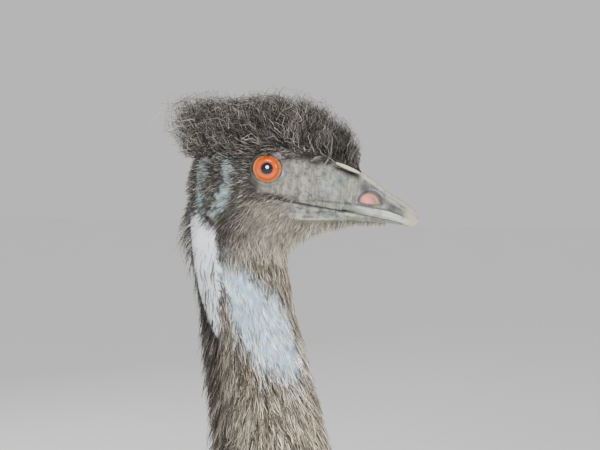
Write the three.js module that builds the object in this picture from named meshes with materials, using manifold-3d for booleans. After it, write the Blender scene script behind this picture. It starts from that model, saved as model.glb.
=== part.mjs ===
// An adult emu that stands on both feet with its head up: a life-size still model.
// Millimetres. +X is the way the bird faces, +Y its left side, +Z up.
// The origin lies on the floor, below the middle of the bird's box.
import * as THREE from "three";
import { mergeVertices } from "three/addons/utils/BufferGeometryUtils.js";
import Module from "manifold-3d";

const wasm = await Module();
wasm.setup();

const V = (x, y, z) => new THREE.Vector3(x, y, z);
const rad = THREE.MathUtils.degToRad;
const mix = THREE.MathUtils.lerp;
const clamp = THREE.MathUtils.clamp;

const GAP = 0.3; // left between pieces that touch
const SIDES = { right: -1, left: 1 };
const BOX_MIDDLE_X = -44; // the middle of the bird's box, counted from its hips' upright

// Body: an egg-shaped form, the bird's skin under its coat.
const BODY = {
  middleX: -50, halfLength: 360, middleZ: 842, halfWidth: 184, rise: 178, drop: 182,
  roundness: 2.4, tailDroop: 60, tailPlaneX: -322,
};
const RUMP = { x: -356, z: 790, halfLong: 84, halfWide: 138, halfHigh: 142 };
// Coat: how far the body's core stands past the skin, and the share of the neck's coat in its core.
const COAT = { core: 18, neckShare: 0.45 };

// Head and neck: the eye's place, and the sizes of the head as distances from it.
const EYE = { x: 330, z: 1510, ball: 15.5, centreY: 22.5, turn: rad(12), opening: 12.6 };
// By distance ahead of the eye: top and bottom of the head, its half width and the height where it is
// widest, all counted from the eye.
const HEAD_ROWS = [
  [-74, -2, -34, 8, -16],
  [-66, 17, -50, 19, -13],
  [-55, 28, -60, 26, -10],
  [-42, 36, -66, 30.5, -8],
  [-25, 40, -70, 33.5, -6],
  [-8, 42, -71, 35, -2],
  [10, 41, -70, 34.5, -2],
  [28, 36, -62, 31, -8],
  [45, 27, -54, 27, -16],
  [60, 16, -48.5, 23.5, -22],
  [72, 5.5, -46, 21.5, -26],
];
// By distance ahead of the eye: the bill's ridge, the mouth line, the lower edge and the half width.
const BILL_ROWS = [
  [60, 14, -35.5, -48, 23.5],
  [70, 4.5, -37.5, -45.5, 21.8],
  [84, -5, -39.5, -45.2, 18.6],
  [97, -14.5, -41.5, -47, 15.2],
  [110, -24, -44.5, -48.6, 11.6],
  [120, -31.5, -47, -49.4, 8],
  [127, -38.6, -48.6, -49.8, 4.2],
];
const BILL_STATIONS = [68, 78, 88, 98, 108, 117, 124, 128];
const BILL_RIDGE = { half: 4.6, fossaInset: 3.2, strip: 7.5 };
const NOSTRIL = { x: 88.5, z: -24.5, y: 15.5, long: 8.2, high: 4.4, deep: 3.6 };
const MOUTH = { backX: 3, backZ: -25.5, deep: 6, high: 0.9 };
const LID = { away: 11.2, past: 2, thick: 2.6 };
const EAR = { x: -46, z: -3, y: 28.5, long: 9.5, wide: 7.5, deep: 4.5 };

// Neck, by height: the middle's x, then the skin's reach ahead, behind and to each side, then how far
// the feathers stand past the skin ahead, behind and to each side.
const NECK_ROWS = [
  [880, 190, 120, 110, 105, 20, 20, 22],
  [965, 262, 96, 88, 84, 38, 34, 36],
  [1045, 308, 68, 64, 62, 38, 36, 36],
  [1130, 333, 51, 51, 49, 32, 32, 30],
  [1210, 336, 43, 45, 40, 24, 28, 22],
  [1270, 330, 41, 44, 37, 18, 26, 16],
  [1355, 315, 41, 44, 35, 12, 24, 9],
  [1420, 303, 42, 46, 33.5, 8, 24, 6],
  [1475, 298, 41, 46, 31, 6, 22, 5],
];
const NECK_TOP_Z = 1420;
const NECK_CUTS = [1310, 1170];

// Legs.
const LEG = {
  halfStance: 92, hipX: -20, hipZ: 770, kneeX: 5, kneeZ: 640, hockX: -100, hockZ: 428,
  ankleX: -66, ankleZ: 40,
  thighAcross: 54, thighDeep: 82, hockAcross: 23, hockDeep: 29, shankAcross: 14.5, shankDeep: 17.5,
  thighEnd: 0.86,
};
const TOES = {
  inner: { length: 92, turn: -30, radius: 12.5 },
  middle: { length: 146, turn: 2, radius: 15.5 },
  outer: { length: 96, turn: 34, radius: 12.5 },
};
const CLAW = { length: 26, sunk: 6, radius: 6.2 };
const STEP = { right: 14, left: -14 }; // one foot stands a little ahead of the other
// Scutes: how many down the shank and on each toe, from where to where, and how far they stand out.
const SCUTES = {
  count: 8, from: 0.17, to: 0.95, raised: 2.6, toe: { inner: 1, middle: 3, outer: 1 }, toeRaised: 1.8,
};

// Wing, down its length: x, the distance from the middle, z, half its breadth and half its thickness.
const WING_ROWS = [
  [176, 138, 918, 27, 15],
  [166, 172, 880, 27, 13],
  [140, 190, 828, 25, 12],
  [108, 196, 776, 20, 10],
  [78, 196, 734, 11, 7],
];

// Locks: the length, width and thickness of one, how far its tip stands off the core, how deep its
// root is sunk, how many rings it has before its tip, and how far it may sway to a side.
const LOCKS = {
  back: { length: 204, width: 85, thick: 8, lift: 26, sunk: 7, rings: 3, sway: rad(9) },
  flank: { length: 220, width: 85, thick: 8, lift: 28, sunk: 7, rings: 3, sway: rad(8) },
  rump: { length: 262, width: 88, thick: 8, lift: 28, sunk: 8, rings: 3, sway: rad(8) },
  breast: { length: 172, width: 66, thick: 8, lift: 26, sunk: 7, rings: 3, sway: rad(8) },
  neckLower: { length: 118, width: 66, thick: 7, lift: 24, sunk: 6, rings: 3, sway: rad(10) },
  neckMiddle: { length: 74, width: 37, thick: 5, lift: 17, sunk: 5, rings: 3, sway: rad(12) },
  neckUpper: { length: 50, width: 24, thick: 3.6, lift: 15, sunk: 4, rings: 3, sway: rad(14) },
  thigh: { length: 100, width: 48, thick: 6, lift: 15, sunk: 6, rings: 3, sway: rad(8) },
  wing: { length: 104, width: 30, thick: 5, lift: 12, sunk: 4, rings: 3, sway: rad(8) },
  crest: { width: 21, thick: 3, sunk: 6, rings: 3 },
};
const LOCK_CLEAR = { thick: 0.5, width: 3 }; // grown by this, a lock touches no other piece
const SEED = 20111;
const GRIDS = [0.02, 0.03, 0.04, 0.013, 0.01]; // the first that leaves a closed solid is taken

// Where the locks have their roots. Body: tiers by their angle from the spine, with one root a step.
const TIER_STEP = 88;
const TIERS = [
  { angle: 9, size: LOCKS.back }, { angle: 33, size: LOCKS.back }, { angle: 58, size: LOCKS.flank },
  { angle: 80, size: LOCKS.flank }, { angle: 100, size: LOCKS.flank },
];
// Breast: the height of each row and its count. Tail: each row's angle above level, count and length.
const BREAST = { reachAngle: 62, across: 202, ahead: 378, rows: [[850, 5], [790, 5], [735, 4]] };
const TAIL = {
  reachAngle: 96, back: 0.5, rows: [[76, 3, 0.95], [52, 5, 1.02], [26, 6, 0.98], [-2, 4, 0.78]],
};
// Neck: the heights of each piece's rows. Thigh: how far down each row is, and its count.
const NECK_LOCK_ROWS = {
  nape: [1476, 1448], upper: [1402, 1372, 1340], middle: [1298, 1260, 1222, 1188],
  lower: [1158, 1112, 1062, 1008, 952],
};
const THIGH_ROWS = [[0.14, 5], [0.38, 4], [0.6, 3]];
const WING_ROOTS = [[172, 890], [150, 862], [158, 828], [128, 815], [128, 776], [102, 768]]; // x and z
// Crest, ahead of the eye: how many across, over what angle to each side, and how long.
const CREST_ROWS = [
  [64, 3, 36, 24], [48, 4, 52, 33], [28, 4, 58, 36], [6, 5, 62, 34], [-16, 4, 60, 37], [-38, 5, 72, 44],
  [-58, 4, 74, 50],
];

// Materials.
const finish = (color, roughness) => new THREE.MeshStandardMaterial({ color, roughness, metalness: 0 });
const FEATHER = finish(0x5a4c3e, 0.9);
const DARK_FEATHER = finish(0x2e2a27, 0.9);
const FACE_SKIN = finish(0x8d9596, 0.6);
const NECK_SKIN = finish(0xa9c6d2, 0.65);
const HORN = finish(0x6f7269, 0.4);
const IRIS = finish(0xe0662a, 0.1);
const SCALED_SKIN = finish(0x5b544b, 0.7);
const CLAW_HORN = finish(0x2b2724, 0.45);

// A closed solid from rings of points, each ring with as many points, closed at both ends. The last
// ring closes at its middle or at a tip.
function closedRings(rings, tip) {
  const sides = rings[0].length;
  const middle = (ring) => ring.reduce((sum, p) => sum.add(p), V(0, 0, 0)).divideScalar(sides);
  const points = [...rings.flat(), middle(rings[0]), tip ?? middle(rings.at(-1))];
  const first = points.length - 2;
  const faces = [];
  for (let k = 0; k < sides; k++) {
    const next = (k + 1) % sides;
    faces.push(first, next, k);
    for (let i = 0; i + 1 < rings.length; i++) {
      const [a, b, c, d] = [i * sides + k, i * sides + next, (i + 1) * sides + k, (i + 1) * sides + next];
      faces.push(a, b, d, a, d, c);
    }
    const end = (rings.length - 1) * sides;
    faces.push(first + 1, end + k, end + next);
  }
  return solidOf(points.flatMap((p) => [p.x, p.y, p.z]), faces);
}

// A solid from flat lists of coordinates and corners, turned so that its faces point out.
function solidOf(coordinates, faces) {
  const p = (i) => V(...coordinates.slice(3 * i, 3 * i + 3));
  let volume = 0;
  for (let i = 0; i < faces.length; i += 3)
    volume += p(faces[i]).dot(p(faces[i + 1]).cross(p(faces[i + 2])));
  const triVerts = new Uint32Array(faces);
  if (volume < 0)
    for (let i = 0; i < triVerts.length; i += 3)
      [triVerts[i], triVerts[i + 1]] = [triVerts[i + 1], triVerts[i]];
  return new wasm.Manifold(
    new wasm.Mesh({ numProp: 3, vertProperties: new Float32Array(coordinates), triVerts }));
}

// A solid from one of three.js's own closed shapes, put in place by a matrix.
function solidFrom(geometry, matrix) {
  const bare = geometry.clone().applyMatrix4(matrix);
  bare.deleteAttribute("normal");
  bare.deleteAttribute("uv");
  const merged = mergeVertices(bare, 1e-3);
  return solidOf([...merged.attributes.position.array], [...merged.index.array]);
}

// An egg or ball: its half sizes along its own axes, with its third axis along `facing`.
function egg(at, halfSizes, facing = V(0, 0, 1), round = 14, high = 8) {
  const turn = new THREE.Quaternion().setFromUnitVectors(V(0, 0, 1), facing.clone().normalize());
  const matrix = new THREE.Matrix4().compose(at, turn, V(...halfSizes));
  const ball = new THREE.SphereGeometry(1, round, high).rotateX(Math.PI / 2);
  return solidFrom(ball, matrix);
}

const boxFrom = (low, high) => solidFrom(
  new THREE.BoxGeometry(high.x - low.x, high.y - low.y, high.z - low.z),
  new THREE.Matrix4().setPosition(low.clone().add(high).divideScalar(2)));

const join = (solids) => solids.reduce((sum, solid) => sum.add(solid));

const largest = (solid) => solid.decompose().reduce((a, b) => (b.volume() > a.volume() ? b : a));

// The solid with its corners moved to a fine grid, without the slivers that this closes.
function onGrid(solid, grid) {
  const { vertProperties, triVerts } = solid.getMesh();
  const numbers = new Map();
  const coordinates = [];
  const numberOf = (i) => {
    const place = [0, 1, 2].map((k) => Math.round(vertProperties[3 * i + k] / grid));
    const key = place.join();
    if (!numbers.has(key)) {
      numbers.set(key, numbers.size);
      coordinates.push(...place.map((k) => k * grid));
    }
    return numbers.get(key);
  };
  const faces = new Map();
  for (let i = 0; i < triVerts.length; i += 3) {
    const face = [0, 1, 2].map((k) => numberOf(triVerts[i + k]));
    if (new Set(face).size < 3) continue;
    const key = [...face].sort((a, b) => a - b).join();
    if (faces.has(key)) faces.delete(key);
    else faces.set(key, face);
  }
  const edges = new Set();
  for (const [a, b, c] of faces.values()) {
    for (const edge of [`${a},${b}`, `${b},${c}`, `${c},${a}`]) {
      if (edges.has(edge)) throw new Error("more than two faces meet at an edge");
      edges.add(edge);
    }
  }
  return solidOf(coordinates, [...faces.values()].flat());
}

// A smooth function through rows of [key, value, value, ...].
function through(rows) {
  const slopes = rows.map((row, i) => {
    const [a, b] = [rows[Math.max(i - 1, 0)], rows[Math.min(i + 1, rows.length - 1)]];
    return row.map((_, k) => (b[k] - a[k]) / (b[0] - a[0]));
  });
  return (key) => {
    let i = 0;
    while (i < rows.length - 2 && key > rows[i + 1][0]) i++;
    const [p, q, m, n] = [rows[i], rows[i + 1], slopes[i], slopes[i + 1]];
    const span = q[0] - p[0];
    const t = clamp((key - p[0]) / span, 0, 1);
    const [t2, t3] = [t * t, t * t * t];
    return p.map((_, k) => p[k] * (2 * t3 - 3 * t2 + 1) + m[k] * span * (t3 - 2 * t2 + t)
      + q[k] * (3 * t2 - 2 * t3) + n[k] * span * (t3 - t2));
  };
}

// The points of one section: `across` to each side, `upper` and `lower` up and down, `square` 2 on an oval.
function section({ at, side, up, across, upper, lower = upper, square = 2 }, sides) {
  return Array.from({ length: sides }, (_, k) => {
    const angle = (2 * Math.PI * k) / sides;
    const [c, s] = [Math.cos(angle), Math.sin(angle)];
    const bend = (v) => Math.sign(v) * Math.abs(v) ** (2 / square);
    return at.clone().addScaledVector(side, bend(c) * across)
      .addScaledVector(up, bend(s) * (s > 0 ? upper : lower));
  });
}

// A solid swept through sections whose planes stand square to the line of their centres.
function sweep(stations, sides, sideHint = V(0, 1, 0)) {
  const rings = stations.map((station, i) => {
    const ahead = stations[Math.min(i + 1, stations.length - 1)].at;
    const along = station.along ?? ahead.clone().sub(stations[Math.max(i - 1, 0)].at).normalize();
    const side = sideHint.clone().addScaledVector(along, -sideHint.dot(along)).normalize();
    return section({ ...station, side, up: along.clone().cross(side) }, sides);
  });
  return closedRings(rings);
}

// Body: half sizes and middle height of its section at x, grown by `more`.
function bodySection(x, more = 0) {
  const share = clamp((x - BODY.middleX) / (BODY.halfLength + more), -1, 1);
  const full = Math.sqrt(Math.max(1 - Math.abs(share) ** BODY.roundness, 0));
  return {
    across: (BODY.halfWidth + more) * full,
    upper: (BODY.rise + more) * full,
    lower: (BODY.drop + more) * full,
    z: BODY.middleZ - BODY.tailDroop * Math.min(share, 0) ** 2,
  };
}

function bodySolid(more = 0) {
  const stations = [];
  const count = 13;
  for (let i = 0; i <= count; i++) {
    const share = -Math.cos((Math.PI * i) / count) * 0.9995;
    const x = BODY.middleX + share * (BODY.halfLength + more);
    const { z, ...sizes } = bodySection(x, more);
    stations.push({ at: V(x, 0, z), along: V(1, 0, 0), ...sizes });
  }
  return sweep(stations, 20);
}

const neckAt = through(NECK_ROWS);

function neckStation(z, coatShare, more = 0) {
  const [, x, ahead, behind, beside, coatAhead, coatBehind, coatBeside] = neckAt(z);
  const slope = (neckAt(z + 1)[1] - neckAt(z - 1)[1]) / 2;
  return {
    at: V(x, 0, z), along: V(slope, 0, 1).normalize(),
    across: beside + coatShare * coatBeside + more,
    lower: ahead + coatShare * coatAhead + more,
    upper: behind + coatShare * coatBehind + more,
  };
}

function neckSolid(fromZ, toZ, rings, coatShare, more = 0) {
  const stations = Array.from({ length: rings + 1 }, (_, i) =>
    neckStation(mix(fromZ, toZ, i / rings), coatShare, more));
  return sweep(stations, 14);
}

// Everything above or below the plane that stands square to the neck at z.
function neckHalfSpace(z, above) {
  const { at, along } = neckStation(z, 0);
  const size = 1200;
  const turn = new THREE.Quaternion().setFromUnitVectors(V(0, 0, 1), along);
  const middle = at.clone().addScaledVector(along, ((above ? 1 : -1) * size) / 2);
  const place = new THREE.Matrix4().compose(middle, turn, V(1, 1, 1));
  return solidFrom(new THREE.BoxGeometry(size, size, size), place);
}

const headAt = through(HEAD_ROWS);

function headSolid() {
  const [first, last] = [HEAD_ROWS[0][0] + 0.5, HEAD_ROWS.at(-1)[0]];
  const count = 13;
  const stations = Array.from({ length: count + 1 }, (_, i) => {
    const x = mix(first, last, i / count);
    const [, top, bottom, across, level] = headAt(x);
    return {
      at: V(EYE.x + x, 0, EYE.z + level), along: V(1, 0, 0), across,
      upper: top - level, lower: level - bottom, square: 2.1,
    };
  });
  return sweep(stations, 20);
}

const billAt = through(BILL_ROWS);

// The upper bill's section from its left edge over the ridge to its right edge.
function upperBillRing(x) {
  const [, ridge, mouth, , half] = billAt(x);
  const high = ridge - mouth;
  const strip = Math.min(BILL_RIDGE.strip, high * 0.32);
  const shoulder = Math.min(BILL_RIDGE.half, half * 0.55);
  const outline = [
    [half * 0.94, 0], [half, strip * 0.5], [half * 0.96, strip],
    [half - BILL_RIDGE.fossaInset * (half / 20), strip + high * 0.12],
    [mix(half, shoulder, 0.55), high * 0.62], [shoulder + 1.2, high * 0.86],
    [shoulder, high * 0.95], [shoulder * 0.5, high],
  ];
  const left = outline.map(([y, z]) => V(EYE.x + x, y, EYE.z + mouth + z));
  const right = outline.map(([y, z]) => V(EYE.x + x, -y, EYE.z + mouth + z)).reverse();
  return [...left, ...right];
}

function lowerBillRing(x) {
  const [, , mouth, low, half] = billAt(x);
  const top = mouth - 2 * GAP;
  const outline = [[half * 0.9, 0], [half * 0.93, 0.45], [half * 0.7, 0.85], [half * 0.3, 1]];
  const left = outline.map(([y, share]) => V(EYE.x + x, y, EYE.z + mix(top, low, share)));
  const right = outline.map(([y, share]) => V(EYE.x + x, -y, EYE.z + mix(top, low, share))).reverse();
  return [...left, ...right];
}

const billSolid = (ring) => closedRings(BILL_STATIONS.map(ring));

const eyeAxis = (hand) => V(Math.sin(EYE.turn), hand * Math.cos(EYE.turn), 0);
const eyeMiddle = (hand) => V(EYE.x, hand * EYE.centreY, EYE.z);

// Lids: a ring of skin round the eye's opening.
function lidRing(hand) {
  const turn = new THREE.Quaternion().setFromUnitVectors(V(0, 0, 1), eyeAxis(hand));
  const at = eyeMiddle(hand).addScaledVector(eyeAxis(hand), LID.away);
  const ring = new THREE.TorusGeometry(EYE.opening + LID.past, LID.thick, 5, 14);
  return solidFrom(ring, new THREE.Matrix4().compose(at, turn, V(1, 1, 1)));
}

const earFacing = (hand) => V(-0.45, hand, 0.05);
const earEgg = (hand, more = 0) => egg(V(EYE.x + EAR.x, hand * EAR.y, EYE.z + EAR.z),
  [EAR.wide + more, EAR.long + more, EAR.deep + more], earFacing(hand), 10, 5);

function earSolid(hand) {
  const facing = earFacing(hand).normalize();
  const mouth = V(EYE.x + EAR.x, hand * EAR.y, EYE.z + EAR.z).addScaledVector(facing, EAR.deep);
  return earEgg(hand).subtract(egg(mouth, [EAR.wide * 0.5, EAR.long * 0.55, EAR.deep * 1.2], facing, 8, 5));
}

// The line of the mouth behind the bill, as a thin slot into each cheek.
function mouthSlot(hand) {
  const [billBack, , billBackMouth] = BILL_ROWS[0];
  const stations = [MOUTH.backX, 20, 40, billBack, BILL_STATIONS[0] + 2].map((x) => {
    const t = (x - MOUTH.backX) / (billBack - MOUTH.backX);
    const z = t < 1 ? mix(MOUTH.backZ, billBackMouth, t) : billAt(x)[2];
    const y = headAt(x)[3];
    const at = V(EYE.x + x, hand * y, EYE.z + z);
    return { at, along: V(1, 0, 0), across: MOUTH.deep, upper: MOUTH.high };
  });
  return sweep(stations, 6);
}

// A stream of random numbers from a seed.
let randomState = SEED;
function random() {
  randomState = (Math.imul(randomState, 1664525) + 1013904223) >>> 0;
  return randomState / 2 ** 32;
}
const vary = (size) => (2 * random() - 1) * size;

// A form to lay locks on, from a function that is 0 on it and grows outwards.
function formOf(value) {
  const slope = (p) => {
    const step = 0.5;
    const [dx, dy, dz] = [V(step, 0, 0), V(0, step, 0), V(0, 0, step)].map(
      (d) => (value(p.clone().add(d)) - value(p.clone().sub(d))) / (2 * step));
    return V(dx, dy, dz);
  };
  return {
    outward: (p) => slope(p).normalize(),
    height: (p) => value(p) / Math.max(slope(p).length(), 1e-6),
  };
}

// The body's core as a form.
const bodyForm = formOf((p) => {
  const more = COAT.core;
  const share = (p.x - BODY.middleX) / (BODY.halfLength + more);
  const middleZ = BODY.middleZ - BODY.tailDroop * Math.min(share, 0) ** 2;
  const high = (p.z > middleZ ? BODY.rise : BODY.drop) + more;
  return Math.sqrt(Math.abs(share) ** BODY.roundness + (p.y / (BODY.halfWidth + more)) ** 2
    + ((p.z - middleZ) / high) ** 2) - 1;
});

// The rump under the tail's coat, as a solid and as a form.
const rumpMiddle = V(RUMP.x, 0, RUMP.z);
const rumpHalves = [RUMP.halfLong, RUMP.halfWide, RUMP.halfHigh];
const rumpForm = formOf((p) => p.clone().sub(rumpMiddle).divide(V(...rumpHalves)).length() - 1);

// The neck's core as a form: the nearest place on its middle line, then the reach there.
const neckForm = formOf((p) => {
  let z = p.z;
  let station = neckStation(z, COAT.neckShare);
  for (let turn = 0; turn < 3; turn++) {
    z += p.clone().sub(station.at).dot(station.along) * station.along.z;
    station = neckStation(z, COAT.neckShare);
  }
  const off = p.clone().sub(station.at);
  const ahead = off.dot(V(station.along.z, 0, -station.along.x));
  return Math.hypot(off.y / station.across, ahead / (ahead > 0 ? station.lower : station.upper)) - 1;
});

// The middle line of a lock on a form: it starts under the surface, follows the lie and lifts
// towards its tip. Where the lie points away from the form, the lock hangs free.
function lockLine(form, root, lie, { length, lift, sunk, rings }, reach) {
  const point = root.clone();
  const points = [];
  const flat = form.outward(root);
  for (let i = 0; i <= rings; i++) {
    const out = form.outward(point);
    const way = lie(out, i / rings);
    const short = mix(-sunk, lift * reach, (i / rings) ** 0.7) - form.height(point);
    if (short > 0 || way.dot(out) < 0 || i === 0) point.addScaledVector(out, short);
    points.push(point.clone());
    way.addScaledVector(out, -Math.min(way.dot(out), 0)).normalize();
    point.addScaledVector(way, (length * reach) / rings);
    if (i === 0) flat.add(form.outward(point));
  }
  return { points, flat };
}

// A flat lock round its middle line: rings of three points, flat below and ridged above, widest
// before the middle, and a tip.
function lockSolid({ points, flat }, { width, thick }, more = { width: 0, thick: 0 }) {
  const across = points.at(-1).clone().sub(points[0]).cross(flat).normalize();
  const rings = points.slice(0, -1).map((point, i) => {
    const t = i / (points.length - 1);
    const along = points[i + 1].clone().sub(points[Math.max(i - 1, 0)]).normalize();
    const up = across.clone().cross(along).normalize();
    const half = (width / 2) * (t < 0.3 ? mix(0.62, 1, t / 0.3) : mix(1, 0.5, (t - 0.3) / 0.7)) + more.width;
    const deep = thick * mix(1.05, 0.75, t);
    const under = point.clone().addScaledVector(up, -0.3 * deep - more.thick);
    const ridge = point.clone().addScaledVector(up, 0.7 * deep + more.thick);
    return [under.clone().addScaledVector(across, half), ridge, under.addScaledVector(across, -half)];
  });
  return closedRings(rings, points.at(-1));
}

// A core with its locks: each is as long as its neighbours in other pieces leave room for.
function withLocks(core, roots, neighbours) {
  let coat = core;
  for (const { size, line } of roots) {
    const reach = [1, 0.8, 0.6, 0.45].find(
      (share) => lockSolid(line(share), size, LOCK_CLEAR).intersect(neighbours).isEmpty());
    if (reach) coat = coat.add(lockSolid(line(reach), size));
  }
  return largest(coat);
}

// One lock's root on a form, with its own sway and length.
function lockAt(form, root, size, lie) {
  const sway = vary(size.sway);
  const bend = vary(size.sway);
  const length = size.length * (1 + vary(0.1));
  const width = size.width * (1 + vary(0.1));
  const own = { ...size, length, width, lift: size.lift * (1 + vary(0.18)) };
  const turned = (out, t) => lie(out).applyAxisAngle(out, sway + bend * t);
  return { size: own, line: (reach) => lockLine(form, root, turned, own, reach) };
}

// The coat parts along the spine and falls back and down on both sides.
const coatLie = (back, spread) => (hand) => (out) =>
  V(-back, hand * (spread * Math.max(out.z, 0) + 0.06), -1);

// The roots of the body's locks: tiers from the spine down, each set off half a step.
function torsoRoots() {
  const roots = [];
  const [first, last] = [-300, 255];
  TIERS.forEach(({ angle, size }, tier) => {
    for (let x = first + (tier % 2) * TIER_STEP / 2; x < last; x += TIER_STEP) {
      for (const hand of Object.values(SIDES)) {
        const at = x + vary(TIER_STEP * 0.12);
        const { across, upper, lower, z } = bodySection(at, COAT.core);
        const turn = rad(angle + vary(3));
        const high = (turn < Math.PI / 2 ? upper : lower) * Math.cos(turn);
        const root = V(at, hand * across * Math.sin(turn), z + high);
        roots.push(lockAt(bodyForm, root, size, coatLie(0.5, 0.6)(hand)));
      }
    }
  });
  return roots;
}

// The breast, round the front of the body under the neck.
function breastRoots() {
  const roots = [];
  for (const [height, count] of BREAST.rows) {
    for (let i = 0; i < count; i++) {
      const turn = rad(mix(-BREAST.reachAngle, BREAST.reachAngle, (i + 0.5) / count) + vary(4));
      const ahead = BODY.middleX + BREAST.ahead * Math.cos(turn);
      const start = V(ahead, BREAST.across * Math.sin(turn), height + vary(8));
      for (let turns = 0; turns < 4; turns++)
        start.addScaledVector(bodyForm.outward(start), -bodyForm.height(start));
      roots.push(lockAt(bodyForm, start, LOCKS.breast, () => V(-0.12, Math.sign(turn) * 0.1, -1)));
    }
  }
  return roots;
}

// The tail: the rump's coat, which droops behind.
function tailRoots() {
  const roots = [];
  for (const [rise, count, size] of TAIL.rows) {
    for (let i = 0; i < count; i++) {
      const turn = rad(mix(-TAIL.reachAngle, TAIL.reachAngle, (i + 0.5) / count) + vary(5));
      const up = rad(rise + vary(4));
      const root = V(-Math.cos(up) * Math.cos(turn), Math.cos(up) * Math.sin(turn), Math.sin(up))
        .multiply(V(...rumpHalves)).add(rumpMiddle);
      if (root.x > BODY.tailPlaneX - 9) continue;
      const own = { ...LOCKS.rump, length: LOCKS.rump.length * size };
      roots.push(lockAt(rumpForm, root, own, () => V(-TAIL.back, Math.sin(turn) * 0.2, -1)));
    }
  }
  return roots;
}

// The neck: rings of locks that point down it.
function neckRoots(heights, count, size, reachAngle = Math.PI) {
  const roots = [];
  heights.forEach((height, row) => {
    for (let i = 0; i < count; i++) {
      const turn = Math.PI + reachAngle * ((2 * i + (row % 2)) / count - 1) + vary(0.12);
      const { at, along, across, upper, lower } = neckStation(height + vary(5), COAT.neckShare);
      const ahead = V(along.z, 0, -along.x);
      const root = at.clone().addScaledVector(ahead, (Math.cos(turn) > 0 ? lower : upper) * Math.cos(turn))
        .addScaledVector(V(0, 1, 0), across * Math.sin(turn));
      roots.push(lockAt(neckForm, root, size, () => along.clone().negate()));
    }
  });
  return roots;
}

// The crest: locks that stand up on the forehead and lean back behind the crown.
function crestRoots() {
  const roots = [];
  for (const [x, count, reachAngle, length] of CREST_ROWS) {
    for (let i = 0; i < count; i++) {
      const turn = rad(mix(-reachAngle, reachAngle, i / (count - 1)) + vary(4));
      const [, top, , across, level] = headAt(x + vary(3));
      const out = V(clamp(x / 90, -0.9, 0.5), Math.sin(turn), Math.cos(turn)).normalize();
      const root = V(EYE.x + x, across * Math.sin(turn), EYE.z + level + (top - level) * Math.cos(turn));
      const back = mix(-1, 0.1, clamp((x + 20) / 80, 0, 1));
      const up = mix(0.45, 1, clamp((x + 55) / 90, 0, 1));
      const end = V(back, Math.sin(turn) * 0.6, up);
      const width = LOCKS.crest.width * (1 + vary(0.15));
      const size = { ...LOCKS.crest, length: length * (1 + vary(0.16)), width };
      const sway = V(vary(0.25), vary(0.25), vary(0.15));
      const flat = V(vary(0.9), turn < 0 ? -1 : 1, vary(0.4)); // the way its flat side faces
      const to = end.add(sway).normalize();
      roots.push({ size, line: (reach) => standingLine(root, out, to, flat, size, reach) });
    }
  }
  return roots;
}

// The middle line of a lock that stands up and bends from one way to another.
function standingLine(root, from, to, flat, { length, sunk, rings }, reach) {
  const point = root.clone().addScaledVector(from, -sunk);
  const points = [point.clone()];
  for (let i = 1; i <= rings; i++) {
    const way = from.clone().lerp(to, i / rings).normalize();
    point.addScaledVector(way, (length * reach + sunk) / rings);
    points.push(point.clone());
  }
  return { points, flat };
}

// Wing and thigh: their own forms and the roots of their locks.
function wingRoots(hand) {
  const roots = [];
  const [[, shoulderY, shoulderZ], , [, tipY, tipZ]] = WING_ROWS.slice(1);
  for (const [x, z] of WING_ROOTS) {
    const middleY = mix(shoulderY, tipY, clamp((shoulderZ - z) / (shoulderZ - tipZ), 0, 1));
    const root = V(x, hand * (middleY + 7), z);
    const form = formOf((p) => (p.y - hand * (middleY + 9)) * hand);
    roots.push(lockAt(form, root, LOCKS.wing, () => V(-0.45, 0.04 * hand, -1)));
  }
  return roots;
}

const thighForm = (line) => formOf((p) => {
  const t = clamp((line.knee.z - p.z) / (line.knee.z - line.hock.z), 0, 1);
  const middle = line.knee.clone().lerp(line.hock, t);
  const narrow = mix(1, 0.42, t);
  const off = p.clone().sub(middle).divideScalar(narrow);
  return Math.hypot(off.x / LEG.thighDeep, off.y / LEG.thighAcross) - 1;
});
function thighRoots(line) {
  const roots = [];
  const form = thighForm(line);
  THIGH_ROWS.forEach(([t, count], row) => {
    const middle = line.knee.clone().lerp(line.hock, t);
    const narrow = mix(1, 0.42, t);
    const width = LOCKS.thigh.width * mix(1, 0.55, t);
    const size = { ...LOCKS.thigh, width, length: LOCKS.thigh.length * mix(1, 0.7, t) };
    for (let i = 0; i < count; i++) {
      const turn = (2 * Math.PI * (i + (row % 2) / 2)) / count + vary(0.15);
      const off = V(LEG.thighDeep * Math.cos(turn), LEG.thighAcross * Math.sin(turn), 0);
      const root = middle.clone().addScaledVector(off, narrow);
      roots.push(lockAt(form, root, size, () => V(-0.3, 0, -1)));
    }
  });
  return roots;
}

// Scutes: raised plates down the front of the shank and along the toes, each over the next.
function shankScutes(line) {
  const down = line.ankle.clone().sub(line.hock).normalize();
  const ahead = down.clone().cross(V(0, 1, 0)).normalize();
  const pitch = (SCUTES.to - SCUTES.from) / SCUTES.count;
  return Array.from({ length: SCUTES.count }, (_, i) => {
    const stations = [0.06, 0.94].map((share) => {
      const t = SCUTES.from + (i + share) * pitch;
      const swell = (share > 0.5 ? 1 : 0.35) * SCUTES.raised;
      return {
        at: line.hock.clone().lerp(line.ankle, t).addScaledVector(ahead, LEG.shankDeep * 0.5),
        along: down, across: LEG.shankAcross * 0.78, upper: LEG.shankDeep * 0.5 + swell,
      };
    });
    return sweep(stations, 6);
  });
}

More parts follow.
